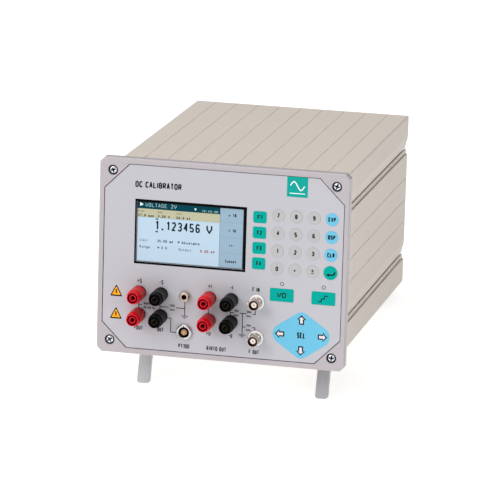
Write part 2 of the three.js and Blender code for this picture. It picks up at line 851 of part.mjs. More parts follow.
// ---- Rear panel, mains inlet with its switch, boards and transformer ----
function rearPanel() {
  const { inset, slotSkirt, thickness } = REAR_PANEL;
  const [edge, top, bottom] = [HOUSING.halfWidth - inset, HOUSING.top - inset, HOUSING.bottom + inset];
  const notchFloor = SLOT.floor - GAP;
  const notch = (centre) => [
    [edge, centre - slotSkirt],
    [notchFloor, centre - slotSkirt],
    [notchFloor, centre + slotSkirt],
    [edge, centre + slotSkirt],
  ];
  const right = [[edge, bottom], ...notch(SLOTS[1]), ...notch(SLOTS[0]), [edge, top]];
  const front = HOUSING.rear + GAP;
  const through = [front - 1, REAR_FACE + 1];
  const opening = (x, z, width, height, radius = 0.5) =>
    plate(rounded(x, z, width + 2 * GAP, height + 2 * GAP, radius), ...through);
  const openings = [
    opening(INLET.x, INLET.z, INLET.body, INLET.bodyHeight),
    ...CONNECTORS.map(({ x, width, height }) => opening(x, connectorMiddle(height), width, height)),
  ];
  for (let i = 0; i < VENT.count; i++) {
    const x = VENT.x + (i - (VENT.count - 1) / 2) * VENT.pitch;
    openings.push(opening(x, VENT.z, VENT.width, VENT.height, VENT.width / 2));
  }
  const panel = plate(polygon([...right, ...mirrored(right)]), front, front + thickness);
  addPart("rear_panel", cut(panel, ...openings), LOOK.coatedMetal);
}

function connectorMiddle(height) {
  return MAIN_BOARD.z + MAIN_BOARD.thickness / 2 + height / 2;
}

function powerInlet() {
  const { x, z, width, height, corner, flange, depth, body, bodyHeight } = INLET;
  const face = REAR_FACE + GAP + flange;
  const well = SOCKET_WELL;
  const module = join(
    plate(rounded(x, z, width, height, corner), REAR_FACE + GAP, face),
    plate(rounded(x, z, body, bodyHeight, corner / 4), face - depth, REAR_FACE + GAP + 1),
  );
  const [right, left] = [x + well.width / 2, x - well.width / 2];
  const [low, high] = [z + well.z - well.height / 2, z + well.z + well.height / 2];
  const socket = polygon([
    [right, low],
    [right, high - well.chamfer],
    [right - well.chamfer, high],
    [left + well.chamfer, high],
    [left, high - well.chamfer],
    [left, low],
  ]);
  const { width: wellWidth, height: wellHeight, depth: wellDepth } = ROCKER_WELL;
  const rockerWell = block(x, face, z + ROCKER.z, wellWidth, 2 * wellDepth, wellHeight);
  const inlet = cut(module, plate(socket, face - well.depth, face + 1), rockerWell);
  addPart("power_inlet", inlet, LOOK.black);
}

function mainsRocker() {
  const { shoulder, crown, back, halfHeight, width, z, tilt } = ROCKER;
  const outline = [
    [shoulder, -halfHeight],
    [crown, 0],
    [shoulder, halfHeight],
    [-back, halfHeight - 1],
    [-back, -halfHeight + 1],
  ];
  const rocker = addPart("mains_rocker", sideProfile(outline, -width / 2, width / 2), LOOK.black);
  rocker.position.set(INLET.x, REAR_FACE + GAP + INLET.flange - shoulder, INLET.z + z);
  rocker.rotation.x = THREE.MathUtils.degToRad(tilt);
}

function mainBoard() {
  const { front, rear, z, thickness } = MAIN_BOARD;
  const board = block(MAIN_BOARD.x, (front + rear) / 2, z, MAIN_BOARD.width, rear - front, thickness);
  const start = rear - CONNECTOR_DEPTH.inside;
  const length = REAR_FACE + CONNECTOR_DEPTH.proud - start;
  const sunk = 0.2; // how far a connector is let into the board
  const connectors = CONNECTORS.map(({ x, width, height }) =>
    block(x, start + length / 2, connectorMiddle(height) - sunk / 2, width, length, height + sunk),
  );
  const parts = BOARD_PARTS.map(({ x, y, width, depth, height }) =>
    block(x, y, z + height / 2, width, depth, height),
  );
  addPart("main_board", join(board, ...connectors, ...parts), LOOK.board);
}

function transformer() {
  const { x, y, width, depth, height, core, coil, coilHeight } = TRANSFORMER;
  const middle = HOUSING.bottom + HOUSING.wall + GAP + height / 2;
  const stack = block(x, y, middle, width, core, height);
  const winding = block(x, y, middle, coil, depth, coilHeight);
  addPart("mains_transformer", join(stack, winding), LOOK.iron);
}

// ---- Assembly ----
frontFrame();
frameScrews();
frontPanel();
keys();
displayBoard();
terminalBoard();
postCaps();
earthSocket();
sensorSocket();
coaxSockets();
topCover();
bottomShell();
legsAndFeet();
rearPanel();
powerInlet();
mainsRocker();
mainBoard();
transformer();

// Standing on the tips of its legs and the facets of its rear feet, centred over the origin.
const stance = new THREE.Group();
stance.rotation.x = -TILT;
stance.add(instrument);
const whole = new THREE.Group();
whole.add(stance);
const bounds = new THREE.Box3().setFromObject(whole, true);
const middle = bounds.getCenter(new THREE.Vector3());
stance.position.set(-middle.x, -middle.y, -bounds.min.z);

export default whole;
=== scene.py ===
"""A bench calibration instrument on its tilt legs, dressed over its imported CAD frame.

Sizes are in millimetres and places are in the instrument's own upright frame: X across the front,
Y from the front face to the rear, Z up, with the origin in the middle of the front face. STANCE takes
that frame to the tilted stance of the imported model.
"""

import json
import math

import bmesh
import bpy
from mathutils import Matrix, Vector
from mathutils.geometry import tessellate_polygon


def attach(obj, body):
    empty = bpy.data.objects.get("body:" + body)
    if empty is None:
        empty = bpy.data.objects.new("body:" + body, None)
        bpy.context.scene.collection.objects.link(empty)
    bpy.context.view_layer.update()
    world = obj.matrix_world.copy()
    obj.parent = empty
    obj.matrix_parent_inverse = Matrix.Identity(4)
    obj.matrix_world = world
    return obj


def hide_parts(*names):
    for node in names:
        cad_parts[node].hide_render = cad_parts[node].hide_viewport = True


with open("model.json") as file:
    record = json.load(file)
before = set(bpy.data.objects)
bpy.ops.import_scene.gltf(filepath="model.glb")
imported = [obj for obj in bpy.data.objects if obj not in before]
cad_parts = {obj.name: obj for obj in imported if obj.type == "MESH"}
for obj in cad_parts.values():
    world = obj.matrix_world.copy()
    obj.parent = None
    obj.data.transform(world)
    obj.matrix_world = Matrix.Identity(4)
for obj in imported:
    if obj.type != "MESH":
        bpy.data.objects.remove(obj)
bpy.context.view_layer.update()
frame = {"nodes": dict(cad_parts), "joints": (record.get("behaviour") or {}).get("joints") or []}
NODES = frame["nodes"]
MM = 0.001
HULL = "instrument"  # the body of everything that doesn't move
INK = 0.03  # how far a print stands proud of what it is printed on

# ---- Dimensions ----
PANEL = {"width": 206, "height": 159, "chamfer": 21.35, "front": 0.3, "back": 2.8, "joint": 0.35}
SCREWS = [(-96, 73.5), (96, 73.5), (-96, -73.5), (96, -73.5)]
KEYPAD = {"x": 47.1, "z": 45.3, "pitch_x": 15.24, "pitch_z": 15.2, "radius": 5.5, "enter_radius": 5.95}
FUNCTION_KEY = {"x": 31.34, "z": 42.62, "pitch": 13.22, "width": 11.4, "height": 10, "corner": 1.7}
WIDE_KEY = {"width": 20.3, "height": 11.2, "corner": 1.2, "z": -22.65, "output": 51.97, "step": 87.6}
CURSOR = {"x": 69.6, "z": -56, "reach_x": 18.4, "reach_z": 13.4}
ARROW = {"length": 8.2, "head": 3.9, "width": 8.2, "stem": 4.5}
SELECT_RADIUS = 4.9
KEY_FACE = 0.12  # depth of the caps' faces
KEY_GAP = 0.04  # clearance of the panel's openings round the keys
KEY_BACK, FLANGE_BACK = 3.2, 4.2
WINDOW = {"x": -28.12, "z": 22.51, "width": 93.4, "height": 52.4}
POSTS = {"left_red": -70.97, "left_black": -51.92, "right_red": -10.09, "right_black": 8.96}
POST_ROWS = {"upper": -30.35, "lower": -49.4}
POST_FRONT, POST_BACK = -22.65, -2.2
COAX_FRONT = -13
EARTH = (-31, -30.35)
SENSOR = (-31, -61.5)
COAX = {"upper": (31, -30.35), "lower": (31, -61.5)}
REAR = {  # as seen from behind, x to the right; depths of the panel, the ports and the mains inlet
    "face": 308,
    "ports": 308.8,
    "inlet": 311.3,
    "screws": [(-92.5, 70.5), (92.5, 70.5), (-92.5, -70.5), (92.5, -70.5)],
    "serial": (66, -52.9),
    "usb": (36, -53.7),
    "network": (10, -52.4),
    "mains": (-62, -44.5),
}
ROCKER = {"place": (62, 308.3, -9.5), "tilt": 10, "half_height": 8.9, "slope_drop": 2, "slope_middle": 4.06}
TITLE, TITLE_WIDTH = "DC CALIBRATOR", 40
CAUTION_ROWS = (-30.3, -49.9)
LAMP_ROW = -13.1


# ---- The stance ----
def find_stance():
    """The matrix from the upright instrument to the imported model."""
    axis = next(j["axis"] for j in frame["joints"] if j["name"] == "key_0_press")
    turn = Matrix.Rotation(math.atan2(axis[2], axis[1]), 4, "X")
    corners = [turn.inverted() @ v.co for v in NODES["front_frame"].data.vertices]
    low = [min(c[k] for c in corners) for k in range(3)]
    high = [max(c[k] for c in corners) for k in range(3)]
    origin = Vector(((low[0] + high[0]) / 2, low[1], (low[2] + high[2]) / 2))
    return turn @ Matrix.Translation(origin)


STANCE = find_stance()


# ---- Materials ----
BROAD_SHARE = 0.6  # how much of a colour's drift is the broad noise; the rest is the grain
GLOSS_DRIFT = 0.08  # how far the roughness goes either way


def srgb(red, green, blue):
    """A colour given in 8-bit sRGB, as the linear colour that shaders take."""
    channels = [c / 255 for c in (red, green, blue)]
    linear = [c / 12.92 if c <= 0.04045 else ((c + 0.055) / 1.055) ** 2.4 for c in channels]
    return (*linear, 1)


def surface(
    name, colour, roughness, metallic=0.0, drift=0.05, cloud=40, grain=2500, relief=0.05,
    stretch=(1, 1, 1), coat=0.0, glow=0.0, specular=0.5,
):
    """A finish whose colour and gloss drift with a broad noise, over a fine grain in relief."""
    material = bpy.data.materials.new(name)
    material.use_nodes = True
    nodes, links = material.node_tree.nodes, material.node_tree.links
    shader = nodes["Principled BSDF"]

    def settings(node, **values):
        for socket, value in values.items():
            node.inputs[socket.replace("_", " ")].default_value = value
        return node

    def noise(scale, detail, place):
        node = settings(nodes.new("ShaderNodeTexNoise"), Scale=scale, Detail=detail)
        links.new(place, node.inputs["Vector"])
        return node.outputs["Fac"]

    settings(shader, Metallic=metallic, Coat_Weight=coat, Coat_Roughness=0.1, Specular_IOR_Level=specular)
    place = nodes.new("ShaderNodeTexCoord").outputs["Object"]
    spread = settings(nodes.new("ShaderNodeMapping"), Scale=stretch)
    links.new(place, spread.inputs["Vector"])
    broad = noise(cloud, 4, place)
    fine = noise(grain, 3, spread.outputs["Vector"])

    tone = nodes.new("ShaderNodeMix")
    tone.data_type = "RGBA"
    linear = srgb(*colour)[:3]
    settings(tone, A=(*[c * (1 - drift) for c in linear], 1), B=(*[c * (1 + drift) for c in linear], 1))
    shift, both = nodes.new("ShaderNodeMath"), nodes.new("ShaderNodeMath")
    shift.operation, both.operation = "MULTIPLY", "MULTIPLY_ADD"
    shift.inputs[1].default_value = BROAD_SHARE
    both.inputs[1].default_value = 1 - BROAD_SHARE
    links.new(broad, shift.inputs[0])
    links.new(fine, both.inputs[0])
    links.new(shift.outputs["Value"], both.inputs[2])
    links.new(both.outputs["Value"], tone.inputs["Factor"])
    links.new(tone.outputs["Result"], shader.inputs["Base Color"])

    gloss = nodes.new("ShaderNodeMapRange")
    low, high = max(roughness - GLOSS_DRIFT, 0.02), min(roughness + GLOSS_DRIFT, 1)
    settings(gloss, To_Min=low, To_Max=high)
    links.new(both.outputs["Value"], gloss.inputs["Value"])
    links.new(gloss.outputs["Result"], shader.inputs["Roughness"])

    if relief:
        bump = settings(nodes.new("ShaderNodeBump"), Strength=1, Distance=relief * MM)
        links.new(fine, bump.inputs["Height"])
        links.new(bump.outputs["Normal"], shader.inputs["Normal"])
    if glow:
        links.new(tone.outputs["Result"], shader.inputs["Emission Color"])
        settings(shader, Emission_Strength=glow)
    return material


def ink(name, colour):
    """A thin screen print."""
    return surface(name, colour, 0.5, drift=0.06, relief=0.004, grain=4000, specular=0.15)


HOUSING_PAINT = surface(
    "housing_powder_coat", (216, 206, 196), 0.55, drift=0.02, cloud=12, grain=1500, relief=0.02, specular=0.3
)
FRAME_PAINT = surface(
    "frame_powder_coat", (176, 169, 173), 0.34, drift=0.02, cloud=25, grain=1700, relief=0.012, specular=0.55
)
MATT = {"grain": 3500, "relief": 0.006}
FOIL = surface("matt_foil", (183, 182, 188), 0.5, drift=0.012, cloud=20, specular=0.3, **MATT)
KEY_GREY = surface("key_grey", (178, 176, 177), 0.5, drift=0.04, specular=0.25, **MATT)
KEY_GREEN = surface("key_green", (0, 160, 148), 0.45, drift=0.05, specular=0.05, **MATT)
KEY_BLUE = surface("key_sky_blue", (106, 184, 214), 0.45, drift=0.03, specular=0.15, **MATT)
KEY_WHITE = surface("key_white", (220, 210, 214), 0.5, drift=0.03, **MATT)
RUBBER_BACK = surface("key_rubber", (150, 150, 152), 0.7, relief=0.01)
INK_DARK = ink("ink_dark", (8, 8, 12))
# Grey-black ink for the printed lines; also the dark ring of painted shade round the rear screws.
LINE_AND_SHADE_INK = ink("line_ink_and_painted_shade", (40, 40, 48))
INK_BLACK = surface("ink_black", (3, 3, 4), 0.6, relief=0.0, specular=0.04)
INK_GREEN = ink("ink_green", (0, 155, 145))
INK_WHITE = ink("ink_white", (240, 242, 240))
INK_AMBER = ink("ink_amber", (250, 170, 24))
LAMP_WINDOW = surface("lamp_window", (192, 190, 194), 0.3, relief=0.0)

SCREEN = {  # colour, roughness, drift, specular level and glow of each part of the picture
    "backing": ((4, 5, 8), 0.35, 0.05, 0.1, 0),
    "header": ((0, 62, 74), 0.3, 0.04, 0.05, 0),
    "band": ((180, 179, 150), 0.3, 0.03, 0.2, 0),
    "field": ((180, 202, 219), 0.3, 0.03, 0.2, 0),
    "keys": ((144, 169, 188), 0.3, 0.05, 0.2, 0),
    "rule": ((122, 148, 167), 0.3, 0.05, 0.2, 0),
    "title": ((150, 184, 188), 0.3, 0.05, 0.1, 0),
    "dark": ((8, 18, 22), 0.3, 0.05, 0.1, 0),
    "number": ((2, 34, 44), 0.3, 0.05, 0.1, 0),
    "grey": ((96, 110, 120), 0.3, 0.05, 0.2, 0),
    "faint": ((84, 84, 72), 0.3, 0.05, 0.2, 0),
    "light": ((236, 242, 240), 0.3, 0.05, 0.2, 0.15),
    "magenta": ((150, 20, 70), 0.3, 0.05, 0.1, 0),
}
for look, (tint, gloss, drift, level, glow) in SCREEN.items():
    SCREEN[look] = surface(f"screen_{look}", tint, gloss, drift=drift, relief=0.0, specular=level, glow=glow)

POLISHED = {"metallic": 1, "relief": 0.01}
MOULDED = {"grain": 1500, "relief": 0.02}
ZINC = surface("bright_zinc", (222, 228, 236), 0.16, grain=1200, **POLISHED)
NICKEL = surface("nickel", (206, 203, 204), 0.3, grain=900, **POLISHED)
BARREL = surface("worn_nickel", (190, 178, 172), 0.22, metallic=1, grain=700, relief=0.02, stretch=(1, 12, 1))
# A darker, browner metal than the barrel: painted shade on the coax barrels' inner wall and the ring round the
# insert.
BARREL_SHADE = surface("barrel_wall_painted_shade", (128, 100, 84), 0.3, metallic=1, grain=1200, relief=0.02)
GOLD = surface("gilt_contact", (212, 168, 130), 0.35, metallic=0.8, grain=1200, relief=0.02)
BRASS = surface("brass_contact", (120, 76, 38), 0.35, metallic=1, grain=1200, relief=0.02)
EARTH_METAL = surface("earth_metal", (206, 188, 174), 0.3, grain=900, **POLISHED)
RED = surface("post_red", (204, 12, 20), 0.3, drift=0.15, cloud=160, specular=0.15, **MOULDED)
RED_FACE = surface("post_red_face", (206, 12, 40), 0.35, drift=0.06, specular=0.2, **MOULDED)
# Dark red: painted shade on the collars at the foot of the red caps.
POST_RED_SHADE = surface("post_red_painted_shade", (96, 8, 14), 0.35, drift=0.06, specular=0.2, **MOULDED)
BLACK = surface("post_black", (9, 8, 10), 0.34, drift=0.3, cloud=160, specular=0.08, **MOULDED)
# Deepest black: the black caps' front rings, and painted shade on the collars at their foot.
BLACK_RING_AND_SHADE = surface("post_black_ring_and_painted_shade", (3, 3, 4), 0.5, relief=0.02, specular=0.08)
BLACK_SLEEVE = surface("post_black_sleeve", (12, 12, 12), 0.4, relief=0.02, specular=0.15)
# Near-black painted shade, set in bores, recesses, seats and gaps where shade falls.
SHADE_BLACK = surface("painted_shade_black", (3, 3, 4), 0.6, relief=0.01, specular=0.05)
DIELECTRIC = surface("white_dielectric", (240, 228, 220), 0.45, drift=0.03, relief=0.01)
BUSHING = surface("white_bushing", (250, 248, 248), 0.3, drift=0.02, relief=0.01, coat=0.4)
RED_DOT = ink("red_dot", (70, 6, 14))
PORT_PLASTIC = surface("port_plastic", (28, 46, 92), 0.45, drift=0.08, specular=0.3, **MOULDED)
LEG_METAL = surface(
    "satin_leg", (172, 172, 177), 0.4, 0.35, drift=0.06, cloud=60, grain=1800, relief=0.02, stretch=(1, 1, 0.06)
)
RUBBER = surface("foot_rubber", (38, 38, 40), 0.75, drift=0.15, grain=1800, relief=0.05, specular=0.3)
INLET_BLACK = surface("inlet_black", (26, 26, 28), 0.45, drift=0.15, grain=1600, relief=0.03, specular=0.3)
BOARD = surface("board_green", (28, 84, 50), 0.45, drift=0.15, cloud=200, relief=0.03)
IRON = surface("laminated_iron", (84, 80, 78), 0.5, metallic=0.7, stretch=(1, 30, 1), relief=0.05)


# ---- Outlines: lists of (x, z) ----
def circle(x, z, radius, count=48):
    turns = [2 * math.pi * i / count for i in range(count)]
    return [(x + radius * math.cos(a), z + radius * math.sin(a)) for a in turns]


def rounded(x, z, width, height, radius, steps=5):
    """A rectangle with rounded corners."""
    points = []
    reach_x, reach_z = width / 2 - radius, height / 2 - radius
    for quarter, (side_x, side_z) in enumerate([(1, 1), (-1, 1), (-1, -1), (1, -1)]):
        centre_x, centre_z = x + side_x * reach_x, z + side_z * reach_z
        for i in range(steps + 1):
            a = (quarter + i / steps) * math.pi / 2
            points.append((centre_x + radius * math.cos(a), centre_z + radius * math.sin(a)))
    return points


def box_outline(left, right, low, high):
    return [(left, low), (right, low), (right, high), (left, high)]


def chamfered(width, height, chamfer):
    x, z, c = width / 2, height / 2, chamfer
    right = [(x - c, -z), (x, -z + c), (x, z - c), (x - c, z)]
    return right[1:] + [(-a, b) for a, b in right[::-1]] + right[:1]


def arrow(x, z, turn, margin=0.0):
    """An arrow of the cursor keys, grown by a margin, then turned and placed."""
    half_head, half_stem = ARROW["width"] / 2 + margin, ARROW["stem"] / 2 + margin
    tip, tail = ARROW["length"] / 2 + margin, -ARROW["length"] / 2 - margin
    shoulder = ARROW["length"] / 2 - ARROW["head"] - margin * 0.4
    reach = half_head + margin * 0.6
    right = [(half_stem, tail), (half_stem, shoulder), (reach, shoulder)]
    outline = right + [(0, tip + margin * 0.4)] + [(-a, b) for a, b in right[::-1]]
    c, s = math.cos(turn), math.sin(turn)
    return [(x + a * c - b * s, z + a * s + b * c) for a, b in outline]


def diamond(x, z, reach_x, reach_z, radius_x, radius_z):
    """A diamond with rounded points, the side points rounder than the upper and lower ones."""
    corners = [(x + reach_x, z), (x, z + reach_z), (x - reach_x, z), (x, z - reach_z)]
    return round_corners(corners, [radius_x, radius_z, radius_x, radius_z])


def round_corners(corners, radii, steps=6):
    """A polygon whose corners are replaced by arcs."""
    points = []
    count = len(corners)
    for i, corner in enumerate(corners):
        corner = Vector(corner)
        before = (Vector(corners[i - 1]) - corner).normalized()
        after = (Vector(corners[(i + 1) % count]) - corner).normalized()
        radius = radii[i] if isinstance(radii, list) else radii
        half = before.angle(after) / 2
        if radius <= 0 or half > math.pi / 2 - 0.02:
            points.append(tuple(corner))
            continue
        towards = (before + after).normalized()
        centre = corner + towards * (radius / math.sin(half))
        start = corner + before * (radius / math.tan(half)) - centre
        end = corner + after * (radius / math.tan(half)) - centre
        sweep = start.angle_signed(end)
        for step in range(steps + 1):
            spun = start.copy()
            spun.rotate(Matrix.Rotation(-sweep * step / steps, 2))
            points.append(tuple(centre + spun))
    return points


def edges_of(path, width):
    """The left and right edges of a line of a given width along a path."""
    points = [Vector(p) for p in path]
    left, right = [], []
    for i, point in enumerate(points):
        back = (point - points[i - 1]).normalized() if i else None
        ahead = (points[i + 1] - point).normalized() if i + 1 < len(points) else None
        back, ahead = back or ahead, ahead or back
        n1, n2 = Vector((-back.y, back.x)), Vector((-ahead.y, ahead.x))
        side = (n1 + n2) * (width / 2 / max(1 + n1.dot(n2), 0.5))
        left.append(tuple(point + side))
        right.append(tuple(point - side))
    return left, right


def area(loop):
    return sum(a[0] * b[1] - b[0] * a[1] for a, b in zip(loop, loop[1:] + loop[:1])) / 2


def moved_in(loop, distance):
    """The loop moved to the left of its direction, which is into the material it bounds."""
    points = [Vector(p) for p in loop]
    moved = []
    for i, point in enumerate(points):
        back = (point - points[i - 1]).normalized()
        ahead = (points[(i + 1) % len(points)] - point).normalized()
        n1, n2 = Vector((-back.y, back.x)), Vector((-ahead.y, ahead.x))
        moved.append(tuple(point + (n1 + n2) * (distance / max(1 + n1.dot(n2), 0.2))))
    return moved


# ---- Meshes, in metres in the upright frame ----
SHARP = 35  # degrees; an edge that turns further is sharp


def raw_mesh(points, faces, smooth=None):
    mesh = bpy.data.meshes.new("part")
    mesh.from_pydata([tuple(c * MM for c in p) for p in points], [], faces)
    return smoothed(mesh, smooth) if smooth else mesh


def smoothed(mesh, smooth=None):
    """The mesh with smooth faces, all of them or those marked, and sharp edges where it turns a corner."""
    mesh.polygons.foreach_set("use_smooth", smooth or [True] * len(mesh.polygons))
    mesh.set_sharp_from_angle(angle=math.radians(SHARP))
    return mesh


def filled(loops, depth, forward=True):
    """Triangles that fill the first loop but not the others, at one depth."""
    points = [(x, depth, z) for loop in loops for x, z in loop]
    flat = [[Vector((x, z, 0)) for x, z in loop] for loop in loops]
    faces = []
    for a, b, c in tessellate_polygon(flat):
        pa, pb, pc = points[a], points[b], points[c]
        turn = (pb[0] - pa[0]) * (pc[2] - pa[2]) - (pb[2] - pa[2]) * (pc[0] - pa[0])
        if abs(turn) < 1e-9:
            continue
        faces.append((a, b, c) if (turn > 0) == forward else (a, c, b))
    return points, faces


def directed(loops):
    outline, *openings = [list(loop) for loop in loops]
    outline = outline if area(outline) > 0 else outline[::-1]
    return [outline] + [o if area(o) < 0 else o[::-1] for o in openings]


def sheet(loops, depth):
    """A print: a flat face at one depth, facing the front."""
    points, faces = filled(directed(loops), depth)
    return raw_mesh(points, faces)


def plate(loops, front, back, bevel=0.0, steps=3):
    """A plate facing the front, its outline first and then its openings, with rounded front edges."""
    loops = directed(loops)
    turns = [math.pi / 2 * i / steps for i in range(steps + 1)] if bevel else []
    levels = [(bevel * (1 - math.sin(a)), front + bevel * (1 - math.cos(a))) for a in turns] or [(0, front)]
    levels.append((0, back))
    points, faces, smooth = [], [], []
    for loop in loops:
        start, count = len(points), len(loop)
        for inset, depth in levels:
            ring = moved_in(loop, inset) if inset else loop
            points += [(x, depth, z) for x, z in ring]
        for level in range(len(levels) - 1):
            for i in range(count):
                j = (i + 1) % count
                upper, lower = start + level * count, start + (level + 1) * count
                faces.append((upper + i, lower + i, lower + j, upper + j))
                smooth.append(True)
    for inset, depth, forward in [(levels[0][0], front, True), (0, back, False)]:
        rings = [moved_in(loop, inset) if inset else loop for loop in loops]
        cap_points, cap_faces = filled(rings, depth, forward)
        offset = len(points)
        points += cap_points
        faces += [tuple(i + offset for i in face) for face in cap_faces]
        smooth += [False] * len(cap_faces)
    return raw_mesh(points, faces, smooth)


def lathe(profile, x, z, segments=64, ribs=0, rib_depth=0.0, rib_span=(0, 0, 0), closed=True):
    """A piece turned about a front-to-back axis; the profile goes round its section as (radius, depth).

    An open profile makes a lining, which has one side only.
    """
    points, rings = [], []
    for radius, depth in profile:
        if radius < 1e-6:
            rings.append([len(points)])
            points.append((x, depth, z))
            continue
        ring = []
        for i in range(segments):
            a = 2 * math.pi * i / segments
            ribbed = ribs and rib_span[0] < depth < rib_span[1] and radius > rib_span[2]
            r = radius - (rib_depth * (0.5 + 0.5 * math.cos(ribs * a)) ** 2 if ribbed else 0)
            ring.append(len(points))
            points.append((x + r * math.cos(a), depth, z + r * math.sin(a)))
        rings.append(ring)
    ring_shaped = closed and len(rings[0]) > 1
    pairs = list(zip(rings, rings[1:])) + ([(rings[-1], rings[0])] if ring_shaped else [])
    faces = []
    for one, two in pairs:
        for i in range(segments):
            j = (i + 1) % segments
            quad = [one[i % len(one)], one[j % len(one)], two[j % len(two)], two[i % len(two)]]
            face = list(dict.fromkeys(quad))
            if len(face) > 2:
                faces.append(face)
    mesh = raw_mesh(points, faces)
    tidy = bmesh.new()
    tidy.from_mesh(mesh)
    bmesh.ops.recalc_face_normals(tidy, faces=tidy.faces)
    tidy.to_mesh(mesh)
    tidy.free()
    return smoothed(mesh)


def turned(profile, x, z, edge=0.15, **options):
    """A lathed piece whose profile's corners are rounded."""
    inner = [r < 1e-6 for r, _ in profile]
    radii = [0 if flat else edge for flat in inner]
    return lathe(round_corners([Vector(p) for p in profile], radii, steps=3), x, z, **options)


# Letters as strokes between the points of a grid, four units wide and six high: each pair of digits is a
# point, the baseline is 2, small letters reach 6, capitals reach 8, and tails go down to 0.
GLYPHS = {
    "A": "022842 1434", "B": "0208 083847463505 3544433202", "C": "4738180703123243",
    "D": "0208 083847433202", "E": "48080242 0535", "F": "480802 0535", "G": "47381807031232434525",
    "H": "0208 4842 0545", "I": "0208", "K": "0208 4804 1542", "L": "080242", "M": "0208254842",
    "N": "02084248", "O": "05071838474332120305", "P": "0208 083847463505", "R": "0208 083847463505 2542",
    "S": "473818070615354443321203", "T": "0848 2822", "U": "080312324348", "V": "0805224548",
    "W": "0812253248", "X": "0248 0842", "Z": "08480242",
    "0": "05071838474332120305", "1": "072822", "2": "07183847460242", "3": "07183847463515 354443321203",
    "4": "32380444", "5": "480805354443321203", "6": "4738180703123243443505", "7": "084812",
    "8": "15060718384746351504031232434435", "9": "0312324347381807061545",
    "+": "0545 2327", "-": "0545", "/": "0228", ".": "0202", ":": "0303 0606", "~": "05162535",
    "a": "16364542 4414031242", "b": "0802 0516364543321203", "c": "4536160503123243",
    "d": "4842 4536160503123243", "e": "044445361605031242", "g": "46413000 4536160503123243",
    "h": "0208 0516364542", "i": "0206 0808", "j": "161100 1818", "l": "0802",
    "m": "0206 05162522 25364542", "n": "0206 0516364542", "o": "04051636454332120304",
    "p": "0006 0516364543321203", "r": "0206 05163645", "s": "45361605143443321203",
    "t": "18132232 0636", "u": "060312324346", "x": "0246 0642", "z": "06460242",
}


LETTER_SHARE = 0.74  # of the pitch, where letters stand at an even pitch


def lettering(words, x, z, height, width=None, weight=0.16, pitch=None, align="CENTER"):
    """The strokes of a line of text whose capitals have a given height, as (path, width) pairs.

    The line either fills a width, or has its letters at an even pitch; weight is the stroke's width as a
    share of the height.
    """
    thick = height * weight
    across = {c: max(int(d) for code in GLYPHS[c].split() for d in code[::2]) for c in words if c != " "}
    gap, blank = height * 0.07, height * 0.3
    if pitch:
        cell = pitch * LETTER_SHARE
        unit = (cell - thick) / 4
        starts = [i * pitch + (cell - thick - across.get(c, 0) * unit) / 2 for i, c in enumerate(words)]
        total = pitch * (len(words) - 1) + cell
    else:
        letters = [c for c in words if c != " "]
        fixed = len(letters) * thick + (len(words) - 1) * gap + words.count(" ") * blank
        units = sum(across[c] for c in letters)
        unit = (width - fixed) / units if width and units else height * 0.1
        unit = max(unit, height * 0.05)
        starts, total = [], 0.0
        for c in words:
            starts.append(total)
            total += (blank if c == " " else across[c] * unit + thick) + gap
        total -= gap
    left = x - {"CENTER": total / 2, "LEFT": 0, "RIGHT": total}[align] + thick / 2
    rise = (height - thick) / 6
    base = z - height / 2 + thick / 2 - 2 * rise
    strokes = []
    for c, start in zip(words, starts):
        for code in GLYPHS.get(c, "").split():
            path = [(left + start + int(a) * unit, base + int(b) * rise) for a, b in zip(code[::2], code[1::2])]
            if path[0] == path[-1] and len(path) == 2:
                (px, pz), half = path[0], thick * 0.55
                path = [(px - half, pz), (px + half, pz)]
            strokes.append((path, thick))
    return strokes


def split_at_corners(path, width):
    """The path in parts that end at its tight corners, each end there carried on to fill the corner."""
    parts, part = [], [path[0]]
    for i in range(1, len(path)):
        part.append(path[i])
        if i == len(path) - 1:
            break
        into = (Vector(path[i]) - Vector(path[i - 1])).normalized()
        out = (Vector(path[i + 1]) - Vector(path[i])).normalized()
        if into.dot(out) < 0.2:
            parts.append(part[:-1] + [tuple(Vector(path[i]) + into * width * 0.4)])
            part = [tuple(Vector(path[i]) - out * width * 0.4)]
    return parts + [part]


def prints(strokes, depth):
    """Lines drawn along paths, each with its own width, as one flat print."""
    points, faces = [], []
    for path, width in [(part, width) for path, width in strokes for part in split_at_corners(path, width)]:
        left, right = edges_of(path, width)
        start, count = len(points), len(path)
        points += [(x, depth, z) for x, z in left + right]
        for i in range(start, start + count - 1):
            faces.append((i + count, i + count + 1, i + 1, i))
    return raw_mesh(points, faces)


def piece(name, body, parts, replaces=()):
    """One shown piece, made of (mesh, material) pairs, riding on a body."""
    whole = bmesh.new()
    materials = []
    for mesh, material in parts:
        if material not in materials:
            materials.append(material)
        start = len(whole.faces)
        whole.from_mesh(mesh)
        whole.faces.ensure_lookup_table()
        for face in whole.faces[start:]:
            face.material_index = materials.index(material)
    mesh = bpy.data.meshes.new(name)
    whole.to_mesh(mesh)
    whole.free()
    for material in materials:
        mesh.materials.append(material)
    for part, _ in parts:
        if part.users == 0:
            bpy.data.meshes.remove(part)
    shown = bpy.data.objects.new(name, mesh)
    bpy.context.scene.collection.objects.link(shown)
    shown.matrix_world = STANCE
    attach(shown, body)
    if replaces:
        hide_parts(*replaces)
    return shown


def finish_node(node, material, edge=0.0):
    """Gives a carried-over CAD node its material and softened edges."""
    shown = NODES[node]
    for slot in shown.material_slots:
        slot.material = material
    if not shown.material_slots:
        shown.data.materials.append(material)
    if not edge:
        return
    weld = shown.modifiers.new("weld", "WELD")
    weld.merge_threshold = 2e-6
    flat = shown.modifiers.new("flat", "DECIMATE")
    flat.decimate_type = "DISSOLVE"
    flat.angle_limit = math.radians(1)
    rim = shown.modifiers.new("rim", "BEVEL")
    rim.width = edge * MM
    rim.segments = 3
    rim.limit_method = "ANGLE"
    rim.angle_limit = math.radians(30)
    rim.harden_normals = True


